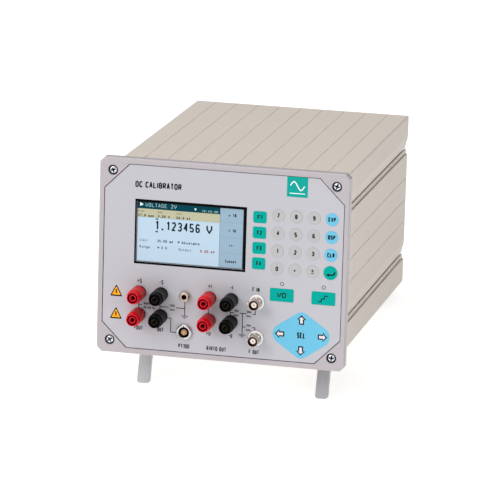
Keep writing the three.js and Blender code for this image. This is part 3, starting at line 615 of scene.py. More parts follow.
# ---- Front frame and screws ----
def screw_head(x, z, turn):
    """A domed head with a cross recess, and the fine cross between its arms."""
    dome = [(0, 0.1), (1.2, 0.13), (2.3, 0.34), (2.9, 0.7), (3.25, 1.2), (3.35, 1.8), (3.35, 2.05), (0, 2.05)]
    head = lathe(dome, x, z, segments=48)
    recess = plate([cross(x, z, turn, 4.5, 1.25)], -1, 1.3)
    marks = plate([cross(x, z, turn + math.pi / 4, 5, 0.28)], -1, 0.5)
    return cut_out(head, recess, marks)


def cross(x, z, turn, length, width):
    outline = []
    for quarter in range(4):
        a = turn + quarter * math.pi / 2
        c, s = math.cos(a), math.sin(a)
        for along, across in [(length / 2, -width / 2), (length / 2, width / 2), (width / 2, width / 2)]:
            outline.append((x + along * c - across * s, z + along * s + across * c))
    return outline


def cut_out(mesh, *tools):
    """The mesh with the tools' space taken out of it."""
    holders = []
    for each in (mesh, *tools):
        holder = bpy.data.objects.new("work", each)
        bpy.context.scene.collection.objects.link(holder)
        holders.append(holder)
    for tool in holders[1:]:
        step = holders[0].modifiers.new("cut", "BOOLEAN")
        step.operation = "DIFFERENCE"
        step.solver = "EXACT"
        step.object = tool
    graph = bpy.context.evaluated_depsgraph_get()
    result = bpy.data.meshes.new_from_object(holders[0].evaluated_get(graph))
    for holder in holders:
        bpy.data.objects.remove(holder)
    return smoothed(result)


def frame_screws():
    for index, (x, z) in enumerate(SCREWS):
        turn = 0.35 + 0.9 * index
        shank = lathe([(0, 2.0), (1.9, 2.0), (1.9, 18.1), (0, 18.1)], x, z, segments=24)
        # A near-black cup round and behind the head, and a near-black cross on the floor of its recess: painted
        # shade in the counterbore and the recess.
        seat = lathe([(4.36, 0.35), (4.36, 2.3), (0, 2.3)], x, z, 48, closed=False)
        recess = sheet([cross(x, z, turn, 4.5, 1.25)], 1.25)
        node = f"frame_screw_{index + 1}"
        parts = [(screw_head(x, z, turn), ZINC), (shank, ZINC), (seat, SHADE_BLACK), (recess, SHADE_BLACK)]
        piece(f"cross_screw_{index + 1}", HULL, parts, [node])


# ---- Keys ----
def key_places():
    """Each key's node, kind, place, finish and legend."""
    keys = []
    for j in range(4):
        z = FUNCTION_KEY["z"] - j * FUNCTION_KEY["pitch"]
        keys.append((f"key_f{j + 1}", "block", (FUNCTION_KEY["x"], z), KEY_GREEN, f"F{j + 1}"))
    rows = [
        [("7", "7"), ("8", "8"), ("9", "9"), ("exponent", "EXP")],
        [("4", "4"), ("5", "5"), ("6", "6"), ("display", "DSP")],
        [("1", "1"), ("2", "2"), ("3", "3"), ("clear", "CLR")],
        [("0", "0"), ("point", "."), ("sign", ""), ("enter", "")],
    ]
    for j, row in enumerate(rows):
        for i, (name, legend) in enumerate(row):
            place = (KEYPAD["x"] + i * KEYPAD["pitch_x"], KEYPAD["z"] - j * KEYPAD["pitch_z"])
            finish = KEY_GREY if i < 3 else KEY_BLUE if j < 3 else KEY_GREEN
            kind = "enter" if name == "enter" else "disc"
            keys.append((f"key_{name}", kind, place, finish, legend))
    keys.append(("key_output", "wide", (WIDE_KEY["output"], WIDE_KEY["z"]), KEY_GREEN, "I/0"))
    keys.append(("key_step", "wide", (WIDE_KEY["step"], WIDE_KEY["z"]), KEY_GREEN, ""))
    for quarter, name in enumerate(["up", "left", "down", "right"]):
        turn = quarter * math.pi / 2
        x = CURSOR["x"] - CURSOR["reach_x"] * math.sin(turn)
        z = CURSOR["z"] + CURSOR["reach_z"] * math.cos(turn)
        keys.append((f"key_{name}", "arrow", (x, z, turn), INK_BLACK, ""))
    keys.append(("key_select", "centre", (CURSOR["x"], CURSOR["z"]), KEY_BLUE, "SEL"))
    return keys


def key_outline(kind, place, margin=0.0):
    if kind == "arrow":
        return arrow(*place, margin - 0.1)
    x, z = place
    radii = {"disc": KEYPAD["radius"], "enter": KEYPAD["enter_radius"], "centre": SELECT_RADIUS}
    if kind in radii:
        return circle(x, z, radii[kind] + margin)
    size = FUNCTION_KEY if kind == "block" else WIDE_KEY
    return rounded(x, z, size["width"] + 2 * margin, size["height"] + 2 * margin, size["corner"] + margin / 2)


def enter_symbol(x, z, depth):
    """A bent arrow that points to the left."""
    path = [(3.8, 1.2), (3.4, -0.6), (2.4, -1.6), (-1.4, -1.8)]
    tip = [(x - 3.9, z - 1.8), (x - 1.1, z - 3.2), (x - 1.1, z - 0.4)]
    return [prints([([(x + a, z + b) for a, b in path], 1.25)], depth), sheet([tip], depth)]


def step_symbol(x, z, depth):
    """A staircase."""
    path = [(-4.6, -2.9), (-1.9, -2.9), (-1.5, -0.4), (0.7, -0.4), (1.2, 2.3), (4.1, 2.3)]
    return prints([([(x + a, z + b) for a, b in path], 0.85)], depth)


def sign_symbol(x, z, depth):
    """A plus over a minus."""
    bars = [[(-1.15, 0.65), (1.15, 0.65)], [(0, -0.4), (0, 1.7)], [(-1.1, -1.5), (1.1, -1.5)]]
    return prints([([(x + a, z + b) for a, b in bar], 0.7) for bar in bars], depth)


# Height, width and weight of the legend on each kind of key.
LEGEND_SIZES = {
    "disc": (3.9, 6.4, 0.23),
    "block": (3.7, 4.2, 0.23),
    "wide": (4.4, 7.4, 0.2),
    "centre": (5.1, 7, 0.21),
}


def keys():
    for node, kind, place, finish, legend in key_places():
        x, z = place[:2]
        face = PANEL["front"] - 0.06 if kind == "centre" else KEY_FACE
        mark = face - INK
        cap = plate([key_outline(kind, place)], face, KEY_BACK, bevel=min(0.12, PANEL["front"] - face))
        flange = plate([key_outline(kind, place, 0.95)], KEY_BACK - 0.1, FLANGE_BACK)
        parts = [(cap, finish), (flange, RUBBER_BACK)]
        if node == "key_enter":
            parts += [(symbol, INK_DARK) for symbol in enter_symbol(x, z, mark)]
        elif node == "key_step":
            parts.append((step_symbol(x, z, mark), INK_DARK))
        elif node == "key_sign":
            parts.append((sign_symbol(x, z, mark), INK_DARK))
        elif node == "key_point":
            parts.append((sheet([circle(x, z - 0.5, 0.8, 16)], mark), INK_DARK))
        elif kind == "arrow":
            parts.append((sheet([arrow(*place, -1.1)], mark), KEY_WHITE))
        else:
            height, width, weight = LEGEND_SIZES[kind]
            if kind == "disc" and len(legend) == 1:
                width, weight = (1.6 if legend == "1" else 2.3), 0.24
            parts.append((prints(lettering(legend, x, z, height, width, weight), mark), INK_DARK))
        piece(node.replace("key_", "keytop_"), node, parts, [node])


# ---- Front foil and what is printed on it ----
def post_places():
    return [(f"{column}_{row}", x, z) for column, x in POSTS.items() for row, z in POST_ROWS.items()]


def front_foil():
    holes = [key_outline(kind, place, KEY_GAP) for _, kind, place, _, _ in key_places()]
    holes.append(rounded(WINDOW["x"], WINDOW["z"], WINDOW["width"], WINDOW["height"], 0.6))
    holes += [circle(x, z, 3.5, 32) for _, x, z in post_places()]
    holes.append(circle(*EARTH, 4.2, 32))
    holes.append(circle(*SENSOR, 5.7, 32))
    holes += [circle(*place, 5.2, 32) for place in COAX.values()]
    joint = 2 * PANEL["joint"]
    outline = chamfered(PANEL["width"] - joint, PANEL["height"] - joint, PANEL["chamfer"])
    foil = plate([outline, *holes], PANEL["front"], PANEL["back"], bevel=0.12, steps=2)
    piece("panel_foil", HULL, [(foil, FOIL)], ["front_panel"])


PRINT = PANEL["front"] - INK
LINES = [
    [(-71.2, -36), (-71.2, -44)],
    [(-71.2, -41), (-68.6, -41)],
    [(-52.7, -37), (-52.7, -44)],
    [(-52.7, -41.2), (-45, -41.2)],
    [(-38.9, -41.2), (-31.2, -41.2)],
    [(-31.2, -35), (-31.2, -47.6)],
    [(-46.5, -50.65), (-43, -50.65), (-43, -62.6), (-38, -62.6)],
    [(-10.7, -37), (-10.7, -44)],
    [(8.2, -37), (8.2, -44)],
    [(8.2, -41.2), (11.2, -41.2)],
    [(16.3, -41.2), (22.1, -41.2)],
    [(27.4, -41.2), (29.8, -41.2), (29.8, -37)],
    [(18.9, -41.2), (18.9, -59.7)],
    [(18.9, -52.8), (21.8, -52.8)],
    [(27.3, -52.8), (29.8, -52.8), (29.8, -55.6)],
]
GROUNDS = [(-31.2, -47.7), (18.9, -59.8)]
SMALL_NOTES = [(-64.2, -39.6, "500V"), (-62, -43, "45-65 Hz"), (-41.8, -39.5, "50V"), (-41.8, -43, "max."),
               (13.7, -39.4, "50V"), (13.7, -43, "max."), (24.5, -39.5, "50V"), (24.5, -43, "max."),
               (24.4, -51.2, "50V"), (24.4, -55, "max.")]
LABELS = [
    (-71, -20.3, 4.2, "+S"), (-52.1, -20.1, 3.6, "-S"), (-71.1, -61.1, 7.8, "+OUT"),
    (-52.8, -61.2, 7.4, "-OUT"), (-10.1, -20, 3.2, "+I"), (8.6, -19.8, 2.6, "-I"),
    (-10.3, -61, 4, "+U"), (8.7, -61.4, 3.6, "-U"), (-31.2, -73.9, 9.6, "PT100"),
    (-3, -73.9, 17, "R/RTD OUT"), (29.8, -19.8, 6.2, "F IN"), (29.5, -73.8, 8.9, "F OUT"),
]


def front_print():
    parts = []
    frame_out = box_outline(-76.2, 20.1, -5.5, 50.25)
    window = rounded(WINDOW["x"], WINDOW["z"], WINDOW["width"], WINDOW["height"], 0.6)
    parts.append((sheet([frame_out, window], PRINT), INK_BLACK))
    pad = diamond(CURSOR["x"], CURSOR["z"], 31.5, 21.4, 9, 6.8)
    on_pad = [key for key in key_places() if key[1] in ("arrow", "centre")]
    holes = [key_outline(kind, place, KEY_GAP) for _, kind, place, _, _ in on_pad]
    parts.append((sheet([pad, *holes], PRINT), KEY_BLUE))
    lines = [(path, 0.7) for path in LINES]
    for x, z in GROUNDS:
        for reach, drop in [(3.2, 0), (2.1, 0.95), (0.9, 1.9)]:
            lines.append(([(x - reach, z - drop), (x + reach, z - drop)], 0.5))
    parts.append((prints(lines, PRINT), LINE_AND_SHADE_INK))
    letters = lettering(TITLE, -76.5, 62.9, 5.3, TITLE_WIDTH, weight=0.21, align="LEFT")
    for x, z, words in SMALL_NOTES:
        letters += lettering(words, x, z, 1.9, weight=0.24)
    for x, z, width, words in LABELS:
        letters += lettering(words, x, z, 3.8, width, weight=0.18)
    parts.append((prints(letters, PRINT), INK_DARK))
    for z in CAUTION_ROWS:
        parts += caution_mark(-91, z)
    parts += badge()
    for x in (WIDE_KEY["output"], WIDE_KEY["step"]):
        parts += lamp(x, LAMP_ROW)
    piece("panel_print", HULL, parts)


def triangle(x, z, size):
    return [(x - size / 2, z - size * 0.46), (x + size / 2, z - size * 0.46), (x, z + size * 0.5)]


def caution_mark(x, z):
    """A plain amber triangle with a dark edge."""
    outer = round_corners(triangle(x, z, 10.8), 0.6)
    inner = round_corners(triangle(x, z - 0.3, 7.6), 0.2)
    bar = rounded(x, z - 0.6, 1.1, 3.8, 0.4)
    return [
        (sheet([outer], PRINT), INK_DARK),
        (sheet([inner], PRINT - INK), INK_AMBER),
        (sheet([bar], PRINT - 2 * INK), INK_DARK),
    ]


def badge():
    """A green tile with one cycle of a sine wave over a base line."""
    tile = box_outline(53.6, 71.4, 62.1, 79.3)
    wave = [(56.5 + 12 * t / 16, 71.6 + 3.6 * math.sin(2 * math.pi * t / 16)) for t in range(17)]
    return [
        (sheet([tile], PRINT), INK_GREEN),
        (prints([(wave, 0.9), ([(56, 65.2), (69, 65.2)], 0.7)], PRINT - INK), INK_WHITE),
    ]


def lamp(x, z):
    ring = [circle(x, z, 1.65, 32), circle(x, z, 1.1, 32)]
    return [(sheet(ring, PRINT), INK_DARK), (sheet([circle(x, z, 1.1, 32)], PRINT), LAMP_WINDOW)]


# ---- The display's picture ----
SCREEN_ROWS = [  # words, x, middle z, height, colour, width, weight, and the letters' share of their pitch
    ("VOLTAGE 2V", -67.5, 45.5, 3.3, "title", 26.7, 0.13, 0.74),
    ("10:45:30", -19, 43.8, 1.8, "title", 14, 0.2, 0.74),
    ("Error", -73.9, 39.9, 1.7, "faint", 5.6, 0.15, 0.74),
    ("Set", -56.8, 39.9, 1.7, "faint", 4.2, 0.15, 0.74),
    ("Limit", -40.8, 39.9, 1.7, "faint", 5, 0.15, 0.74),
    ("27.8 ppm", -73.7, 36.3, 2.1, "dark", 13.5, 0.22, 0.74),
    ("3.00 V", -56.7, 36.3, 2.1, "dark", 10.3, 0.22, 0.74),
    ("50.0 mA", -40.6, 36.3, 2.1, "dark", 12, 0.22, 0.74),
    ("1", -59.2, 28.4, 7.7, "number", 3.7, 0.17, 0.74),
    ("123456", -49.7, 28.4, 7.7, "number", 30, 0.17, 0.82),
    ("V", -14.6, 28.4, 7.5, "number", 5.2, 0.18, 0.74),
    ("Limit", -71.9, 14.9, 2.2, "grey", 6.8, 0.2, 0.74),
    ("25.00 mA", -56.7, 15.1, 2.2, "dark", 13.6, 0.2, 0.74),
    ("Adjustable", -35.6, 15.2, 2.2, "dark", 15.4, 0.2, 0.74),
    ("Range", -72, 9.2, 2.2, "grey", 9, 0.2, 0.74),
    ("3 V", -53.1, 9.4, 2.2, "dark", 4.8, 0.2, 0.74),
    ("Output", -38.1, 9.2, 2.2, "grey", 11, 0.2, 0.74),
    ("0.00 mA", -19.5, 9.2, 2.3, "magenta", 12.5, 0.2, 0.74),
]
SCREEN_KEYS = [("x 10", 7.6, 42, 2.6, 6.6), ("/ 10", 7.6, 28.8, 2.6, 6.2), ("+/-", 7.6, 16, 2.4, 5.2),
               ("Cancel", 7.2, 2.3, 2.6, 9.6)]
KEY_RULES = (35.9, 22.6, 9.2)
SCREEN_MARKS = [(-58.4, -56.4, 33.2, 34.3), (-58.4, -56.4, 22.4, 23.6), (-53.3, -51.7, 24.5, 26)]
POINTERS = [(-71.2, 45.7, 1.9, "light", 0), (-24.4, 44.8, 1.2, "light", -90), (-38.2, 15.3, 1.2, "dark", -90),
            (-55.7, 9.4, 1.2, "dark", -90)]


def display():
    layer = 1.42
    left, right = WINDOW["x"] - 46.6, WINDOW["x"] + 46.6
    low, high = WINDOW["z"] - 26.1, WINDOW["z"] + 26.1
    split = -2.95
    parts = [(plate([box_outline(left, right, low, high)], layer, layer + 0.06), SCREEN["backing"])]
    left, right, low, high = left + 0.4, right - 1.5, low + 0.4, high - 1.0
    blocks = [
        (left, split - 0.2, 42.2, high, "header", 1),
        (left, split - 0.2, 34.9, 42.1, "band", 1),
        (left, split - 0.2, low, 34.8, "field", 1),
        (split, right, low, high, "keys", 1),
    ]
    blocks += [(split + 0.5, right - 0.5, z - 0.12, z + 0.12, "rule", 2) for z in KEY_RULES]
    blocks += [(*mark, "number", 2) for mark in SCREEN_MARKS]
    for *sides, look, up in blocks:
        parts.append((sheet([box_outline(*sides)], layer - up * INK), SCREEN[look]))
    for x, z, size, look, turn in POINTERS:
        angles = [math.radians(turn) + a for a in (0, 2.1, -2.1)]
        tip = [(x + size * math.cos(a), z + size * math.sin(a)) for a in angles]
        parts.append((sheet([tip], layer - 2 * INK), SCREEN[look]))
    rows = [(*row, "LEFT") for row in SCREEN_ROWS]
    for text, x, z, height, width in SCREEN_KEYS:
        rows.append((text, x, z, height, "dark", width, 0.23, 0.74, "CENTER"))
    for text, x, z, height, look, width, weight, share, align in rows:
        pitch = width / (len(text) - 1 + share)
        strokes = lettering(text, x, z, height, weight=weight, pitch=pitch, align=align)
        parts.append((prints(strokes, layer - 2 * INK), SCREEN[look]))
    piece("display_picture", HULL, parts)


# ---- Terminals ----
def binding_posts():
    """Caps with a fluted grip, whose front ring and sleeve leave a groove between them, lined in near-black as
    painted shade.
    """
    front, back = POST_FRONT, POST_BACK
    shell = [(4.3, front + 8.5), (4.3, front + 0.4), (5.3, front + 0.4), (5.4, front + 4.4), (6.2, front + 5.2)]
    shell += [(6.2, front + 5.9), (6.2, back - 1.8), (6.2, back - 1.1), (5.9, back - 0.9), (5.9, back)]
    shell += [(3.4, back), (3.4, -12.6), (3.0, -12.6), (3.0, front + 8.5)]
    flutes = (front + 5.4, back - 1.3, 5)
    ring = [(4.3, front + 0.12), (5.15, front + 0.12), (5.3, front + 0.5), (4.3, front + 0.5)]
    tube = [(2.1, front + 0.3), (3.0, front + 0.3), (3.0, front + 8.5), (2.1, front + 8.5)]
    spring = [(1.5, front + 4), (2.05, front + 4), (2.05, -12.4), (1.5, -12.4)]
    for name, x, z in post_places():
        colour = "red" if "red" in name else "black"
        body, face, sleeve = (RED, RED_FACE, RED_FACE) if colour == "red" else (BLACK, BLACK_RING_AND_SHADE, BLACK_SLEEVE)
        cap = turned(shell, x, z, 0.15, segments=192, ribs=24, rib_depth=0.4, rib_span=flutes)
        # Near-black linings inside the cap and down the sleeve's bore: painted shade in the groove and the
        # hole.
        lining = lathe([(4.28, front + 0.3), (4.28, front + 8.3), (3, front + 8.3)], x, z, 48, closed=False)
        bore = lathe([(2.12, front + 0.6), (2.12, front + 6), (0, front + 6)], x, z, 40, closed=False)
        parts = [
            (cap, body),
            (turned(ring, x, z, 0.12), face),
            (lining, SHADE_BLACK),
            (turned(tube, x, z, 0.15), sleeve),
            (bore, SHADE_BLACK),
            (turned(spring, x, z, 0.05, segments=40), BRASS),
        ]
        piece(f"grip_{name}", f"post_{name}", parts, [f"post_{name}"])


def terminal_board():
    """The board with its studs, and the insulating collars that the caps screw down on, darkened as painted
    shade at the foot of each cap.
    """
    board = plate([rounded(-24, -45.5, 124, 55, 1)], 12, 13.6)
    parts = [(board, BOARD)]
    for name, x, z in post_places():
        stud = [(2.1, -12), (2.9, -12), (2.9, 12.4), (2.1, 12.4)]
        parts.append((turned(stud, x, z, 0.1, segments=32), BRASS))
        collar = [(3.1, -1.9), (6.1, -1.9), (6.1, 0), (3.1, 0)]
        # The collars are darker than the caps: painted shade at the foot of each cap.
        parts.append((turned(collar, x, z, 0.2), POST_RED_SHADE if "red" in name else BLACK_RING_AND_SHADE))
    piece("terminal_board_fitted", HULL, parts, ["terminal_board"])


def earth_socket():
    x, z = EARTH
    body = [(2.25, -4.5), (3.3, -4.5), (3.7, -4.2), (4.5, -2.9), (4.5, 0), (3.8, 0), (3.8, 11), (2.25, 11)]
    # The bore is lined in near-black: painted shade down the hole.
    bore = [(2.3, -4), (2.3, 5), (0, 5)]
    parts = [
        (turned(body, x, z, 0.15, segments=72), EARTH_METAL),
        (lathe(bore, x, z, 40, closed=False), SHADE_BLACK),
    ]
    piece("earth_jack", HULL, parts, ["earth_socket"])


def sensor_socket():
    x, z = SENSOR
    shell = [(4.65, -2.3), (5.9, -2.6), (6.5, -2), (6.95, -0.7), (6.95, 0), (5.4, 0), (5.4, 11), (4.65, 11)]
    # The collar between shell and insert is near-black: painted shade in the ring between them.
    collar = [(2.5, -1.3), (4.6, -1.9), (4.6, 3), (2.5, 3)]
    insert = [(0, -1.4), (2.45, -1.4), (2.45, 3), (0, 3)]
    parts = [
        (turned(shell, x, z, 0.2, segments=96), NICKEL),
        (turned(collar, x, z, 0.1), SHADE_BLACK),
        (turned(insert, x, z, 0.1, segments=48), GOLD),
    ]
    # Dark dots on the insert for its five contact holes: painted shade.
    pin = [(0, -1.46), (0.5, -1.46), (0.5, -1.3), (0, -1.3)]
    for i in range(5):
        a = math.pi / 2 + 2 * math.pi * i / 5
        parts.append((lathe(pin, x + 1.45 * math.cos(a), z + 1.45 * math.sin(a), 12), SHADE_BLACK))
    parts.append((lathe([(0, -2.74), (0.55, -2.72), (0.65, -2.3), (0, -2.3)], x, z + 5.4, 20), RED_DOT))
    piece("sensor_jack", HULL, parts, ["sensor_socket"])


def coax_sockets():
    front = COAX_FRONT
    for row, (x, z) in COAX.items():
        bushing = [(4.3, -2), (5.9, -2), (6.4, -1.5), (6.4, 0), (4.9, 0), (4.9, 11), (4.3, 11)]
        barrel = [(4.2, front + 9), (4.2, front), (4.7, front), (4.85, front + 0.3), (4.85, front + 5.4)]
        for groove in (5.4, 7.4):
            barrel += [(4.35, front + groove + 0.3), (4.35, front + groove + 0.9), (4.85, front + groove + 1.2)]
            barrel.append((4.85, front + groove + 2))
        barrel += [(5.2, front + 9.7), (5.2, -2), (4.2, -2), (4.2, front + 9.2)]
        # The inner wall and the ring round the insert are a darker, browner metal than the barrel: painted
        # shade inside it. The centre bore is near-black: painted shade.
        wall = [(4.18, front + 0.1), (4.18, front + 8.8), (2.9, front + 8.8)]
        insert = [(0.75, front + 1.3), (2.25, front + 1.3), (2.25, front + 9), (0.75, front + 9)]
        ring = [(2.3, front + 2.2), (2.8, front + 2.2), (2.8, front + 9), (2.3, front + 9)]
        bore = [(0.77, front + 1.5), (0.77, front + 6), (0, front + 6)]
        parts = [
            (turned(bushing, x, z, 0.25, segments=96), BUSHING),
            (turned(barrel, x, z, 0.06, segments=96), BARREL),
            (lathe(wall, x, z, 64, closed=False), BARREL_SHADE),
            (turned(insert, x, z, 0.1, segments=48), DIELECTRIC),
            (turned(ring, x, z, 0.05, segments=48), BARREL_SHADE),
            (lathe(bore, x, z, 32, closed=False), SHADE_BLACK),
        ]
        for side in (-1, 1):
            parts.append((coax_lug(x + side * 5.3, front + 4.2, z, side), BARREL))
        piece(f"coax_jack_{row}", HULL, parts, [f"coax_socket_{row}"])


def coax_lug(x, y, z, side):
    """One of the two studs that lock a plug."""
    lug = bmesh.new()
    place = Matrix.Translation(Vector((x, y, z)) * MM) @ Matrix.Rotation(side * math.pi / 2, 4, "Y")
    bmesh.ops.create_cone(
        lug, cap_ends=True, segments=24, radius1=0.95 * MM, radius2=0.8 * MM, depth=1.5 * MM, matrix=place
    )
    mesh = bpy.data.meshes.new("lug")
    lug.to_mesh(mesh)
    lug.free()
    return mesh


# ---- Housing, legs and rear ----
def housing():
    finish_node("top_cover", HOUSING_PAINT, edge=0.12)
    finish_node("bottom_shell", HOUSING_PAINT, edge=0.12)
    finish_node("rear_panel", HOUSING_PAINT, edge=0.2)


def stand():
    for side in ("left", "right"):
        finish_node(f"tilt_leg_{side}", LEG_METAL, edge=0.4)
        finish_node(f"front_foot_{side}", RUBBER, edge=0.6)
        finish_node(f"rear_foot_{side}", RUBBER, edge=0.8)


def rear():
    finish_node("power_inlet", INLET_BLACK, edge=0.4)
    finish_node("mains_rocker", INLET_BLACK, edge=0.3)
    finish_node("main_board", BOARD, edge=0.0)
    finish_node("display_board", BOARD)
    finish_node("mains_transformer", IRON, edge=0.5)
    rear_piece("rear_screws", rear_screws())
    rear_piece("serial_port", serial_port())
    rear_piece("usb_port", usb_port())
    rear_piece("network_port", network_port())
    rear_piece("mains_contacts", mains_contacts())
    rear_piece("rear_print", rear_print())
    rocker_marks()


def rear_piece(name, parts):
    """A piece drawn as it is seen from behind, with x to the right, and then turned to face the rear."""
    for mesh, _ in parts:
        mesh.transform(Matrix.Rotation(math.pi, 4, "Z"))
    return piece(name, HULL, parts)


def rear_screws():
    """Countersunk screws, flush with the rear panel."""
    face = -REAR["face"]
    parts = []
    for i, (x, z) in enumerate(REAR["screws"]):
        turn = 0.4 + 0.8 * i
        rim = [(0, face - 0.2), (2.7, face - 0.2), (3.1, face - 0.02), (3.1, face + 0.3), (0, face + 0.3)]
        parts.append((lathe(rim, x, z, segments=40), ZINC))
        # A near-black cross printed on the flat head, and a dark ring round it: painted shade in the recess and
        # the countersink's gap.
        parts.append((sheet([cross(x, z, turn, 3.6, 0.9)], face - 0.23), SHADE_BLACK))
        parts.append((sheet([circle(x, z, 3.5, 40), circle(x, z, 3.12, 40)], face - INK), LINE_AND_SHADE_INK))
    return parts


def serial_port():
    """A nine-way socket: flange, D-shaped shell, insert, contacts and two jack screws."""
    x, z = REAR["serial"]
    face = -REAR["ports"]

    def wedge(width, height):
        """The outline of the D, narrower below."""
        top, foot, half = width / 2, width / 2 - 0.8, height / 2
        corners = [(x - top, z + half), (x - foot, z - half), (x + foot, z - half), (x + top, z + half)]
        return round_corners(corners, 1.4)

    parts = [
        (plate([rounded(x, z, 30.8, 12.4, 1.2)], face - 0.7, face - 0.05, bevel=0.15), NICKEL),
        (plate([wedge(17.4, 8.8), wedge(16.6, 8)], face - 3.2, face - 0.6, bevel=0.1), NICKEL),
        (plate([wedge(16.2, 7.6)], face - 2.7, face - 0.6, bevel=0.2), PORT_PLASTIC),
    ]
    # Near-black dots for the contact holes: painted shade.
    for count, dz in ((5, 1.4), (4, -1.4)):
        for i in range(count):
            hole = circle(x + 2.76 * (i - (count - 1) / 2), z + dz, 0.6, 16)
            parts.append((sheet([hole], face - 2.73), SHADE_BLACK))
    for side in (-1, 1):
        jack = x + 12.5 * side
        hexagon = circle(jack, z, 2.6, 6)
        parts.append((plate([hexagon, circle(jack, z, 1.2, 24)], face - 3, face - 0.6, bevel=0.15), ZINC))
        # Near-black in the jack screws' threaded holes: painted shade.
        parts.append((sheet([circle(jack, z, 1.22, 24)], face - 0.9), SHADE_BLACK))
    return parts


def usb_port():
    """A square type B socket."""
    x, z = REAR["usb"]
    face = -REAR["ports"]
    half, cut = 4.1, 1.7
    opening = [(x - half, z - 3.7), (x + half, z - 3.7), (x + half, z + 3.7 - cut), (x + half - cut, z + 3.7),
               (x - half + cut, z + 3.7), (x - half, z + 3.7 - cut)]
    return [
        (plate([rounded(x, z, 12, 10.8, 0.7), opening], face - 1.8, face - 0.05, bevel=0.15), NICKEL),
        # A near-black sheet filling the opening: painted shade inside the socket.
        (sheet([opening], face - 0.1), SHADE_BLACK),
        (plate([rounded(x, z - 0.2, 5.4, 3, 0.4)], face - 1.5, face - 0.1, bevel=0.15), DIELECTRIC),
    ]


def network_port():
    """A modular socket with its latch notch, eight contacts and two lamps."""
    x, z = REAR["network"]
    face = -REAR["ports"]
    opening = [(x - 5.9, z - 3.6), (x - 3, z - 3.6), (x - 3, z - 5), (x + 3, z - 5), (x + 3, z - 3.6),
               (x + 5.9, z - 3.6), (x + 5.9, z + 3.2), (x - 5.9, z + 3.2)]
    parts = [
        (plate([rounded(x, z, 16, 13.4, 0.6), opening], face - 2, face - 0.05, bevel=0.15), NICKEL),
        # A near-black sheet filling the opening: painted shade inside the socket.
        (sheet([opening], face - 0.1), SHADE_BLACK),
    ]
    for i in range(8):
        contact = x + 1.02 * (i - 3.5)
        bar = box_outline(contact - 0.22, contact + 0.22, z + 0.4, z + 3.1)
        parts.append((plate([bar], face - 0.9, face - 0.2), GOLD))
    for side, glow in ((-1, INK_GREEN), (1, INK_AMBER)):
        lens = rounded(x + 5.9 * side, z + 5, 2.6, 1.6, 0.3)
        parts.append((plate([lens], face - 2.2, face - 1.9, bevel=0.1), glow))
    return parts


def mains_contacts():
    """Three blades in the mains socket, and the fuse drawer above it."""
    x, z = REAR["mains"]
    parts = []
    for dx, dz in ((0, 2.2), (-7, -1.8), (7, -1.8)):
        parts.append((plate([rounded(x + dx, z + dz, 2, 4.4, 0.4)], -306.5, -294.4, bevel=0.4), ZINC))
    face, drawer = -REAR["inlet"], z + 16.6
    parts.append((plate([rounded(x, drawer, 23, 11, 1)], face - 0.9, face - 0.03, bevel=0.3), INLET_BLACK))
    # A near-black bar on the drawer for its slot: painted shade.
    parts.append((sheet([box_outline(x - 4, x + 4, drawer + 3.4, drawer + 4.4)], face - 0.93), SHADE_BLACK))
    return parts


def rear_print():
    """Plain names beside the sockets."""
    strokes = []
    for place, words in (("serial", "SERIAL"), ("usb", "USB"), ("network", "LAN")):
        strokes += lettering(words, REAR[place][0], -41.5, 2.8, weight=0.17)
    strokes += lettering("MAINS", REAR["mains"][0], 8, 3.4, weight=0.17)
    return [(prints(strokes, -REAR["face"] - INK), INK_DARK)]


def rocker_marks():
    """The on and off marks, printed on the two slopes of the rocker."""
    slope = math.atan2(ROCKER["slope_drop"], ROCKER["half_height"])
    line = sheet([box_outline(-0.35, 0.35, -2, 2)], 0)
    ring = sheet([circle(0, 0, 2, 32), circle(0, 0, 1.35, 32)], 0)
    tilt = Matrix.Rotation(math.radians(ROCKER["tilt"]), 4, "X")
    for mesh, side in ((line, 1), (ring, -1)):
        middle = Vector((0, ROCKER["slope_middle"], side * ROCKER["half_height"] / 2))
        turn = Matrix.Rotation(side * slope, 4, "X") @ Matrix.Rotation(math.pi, 4, "Z")
        place = Matrix.Translation(Vector(ROCKER["place"]) * MM)
        mesh.transform(place @ tilt @ Matrix.Translation(middle * MM) @ turn)
    piece("rocker_marks", "mains_rocker", [(line, INK_WHITE), (ring, INK_WHITE)])


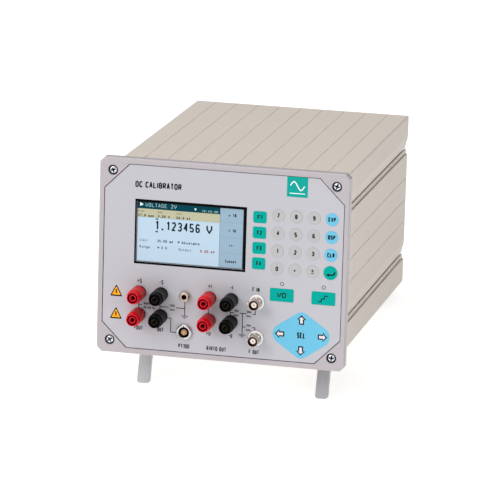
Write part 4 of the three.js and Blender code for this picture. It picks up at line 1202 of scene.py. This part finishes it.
# ---- Stage ----
def stage():
    bpy.ops.mesh.primitive_plane_add(size=14, location=(0, 3, 0))
    floor = bpy.context.object
    floor.name = "floor"
    paper = surface("floor_paper", (200, 200, 200), 0.9, 0, 0.004, 3, relief=0.0, glow=1.2, specular=0.0)
    floor.data.materials.append(paper)

    world = bpy.data.worlds.new("studio")
    bpy.context.scene.world = world
    world.use_nodes = True
    tree = world.node_tree
    place = tree.nodes.new("ShaderNodeTexCoord")
    towards = tree.nodes.new("ShaderNodeVectorMath")
    towards.operation = "DOT_PRODUCT"
    towards.inputs[1].default_value = Vector((-0.55, -0.3, 0.8)).normalized()
    ramp = tree.nodes.new("ShaderNodeMapRange")
    ramp.inputs["From Min"].default_value = -0.3
    ramp.inputs["From Max"].default_value = 1.0
    ramp.inputs["To Min"].default_value = 0.06
    ramp.inputs["To Max"].default_value = 1.0
    tree.links.new(place.outputs["Generated"], towards.inputs[0])
    tree.links.new(towards.outputs["Value"], ramp.inputs["Value"])
    tree.links.new(ramp.outputs["Result"], tree.nodes["Background"].inputs["Color"])

    lamp_at("key_light", (-1.5, -2.0, 1.7), 1.2, 23)
    lamp_at("side_light", (0.48, -0.62, 0.42), 0.4, 0.7)
    lamp_at("top_light", (-0.5, -0.35, 2.4), 1.5, 10.3)


def lamp_at(name, place, size, power):
    data = bpy.data.lights.new(name, "AREA")
    data.shape = "DISK"
    data.size = size
    data.energy = power
    light = bpy.data.objects.new(name, data)
    bpy.context.scene.collection.objects.link(light)
    light.location = place
    light.rotation_euler = (Vector((0, 0, 0.1)) - Vector(place)).to_track_quat("-Z", "Y").to_euler()


def camera():
    """A long lens from the front right, looking slightly down, placed in the instrument's own frame."""
    right = Vector((0.974073, 0.22441, 0.028666))
    up = Vector((-0.078555, 0.216678, 0.973077))
    forward = Vector((-0.212157, 0.9501, -0.228689))
    turn = Matrix((right, up, -forward)).transposed().to_4x4()
    data = bpy.data.cameras.new("camera")
    data.lens = 277.09
    data.sensor_width = 36
    data.clip_end = 50
    view = bpy.data.objects.new("camera", data)
    bpy.context.scene.collection.objects.link(view)
    view.matrix_world = STANCE @ Matrix.Translation(Vector((706.333, -3057.04, 749.803)) * MM) @ turn
    bpy.context.scene.camera = view
    bpy.context.scene.view_settings.view_transform = "Standard"


finish_node("front_frame", FRAME_PAINT, edge=0.2)
frame_screws()
keys()
front_foil()
front_print()
display()
binding_posts()
terminal_board()
earth_socket()
sensor_socket()
coax_sockets()
housing()
stand()
rear()
stage()
camera()
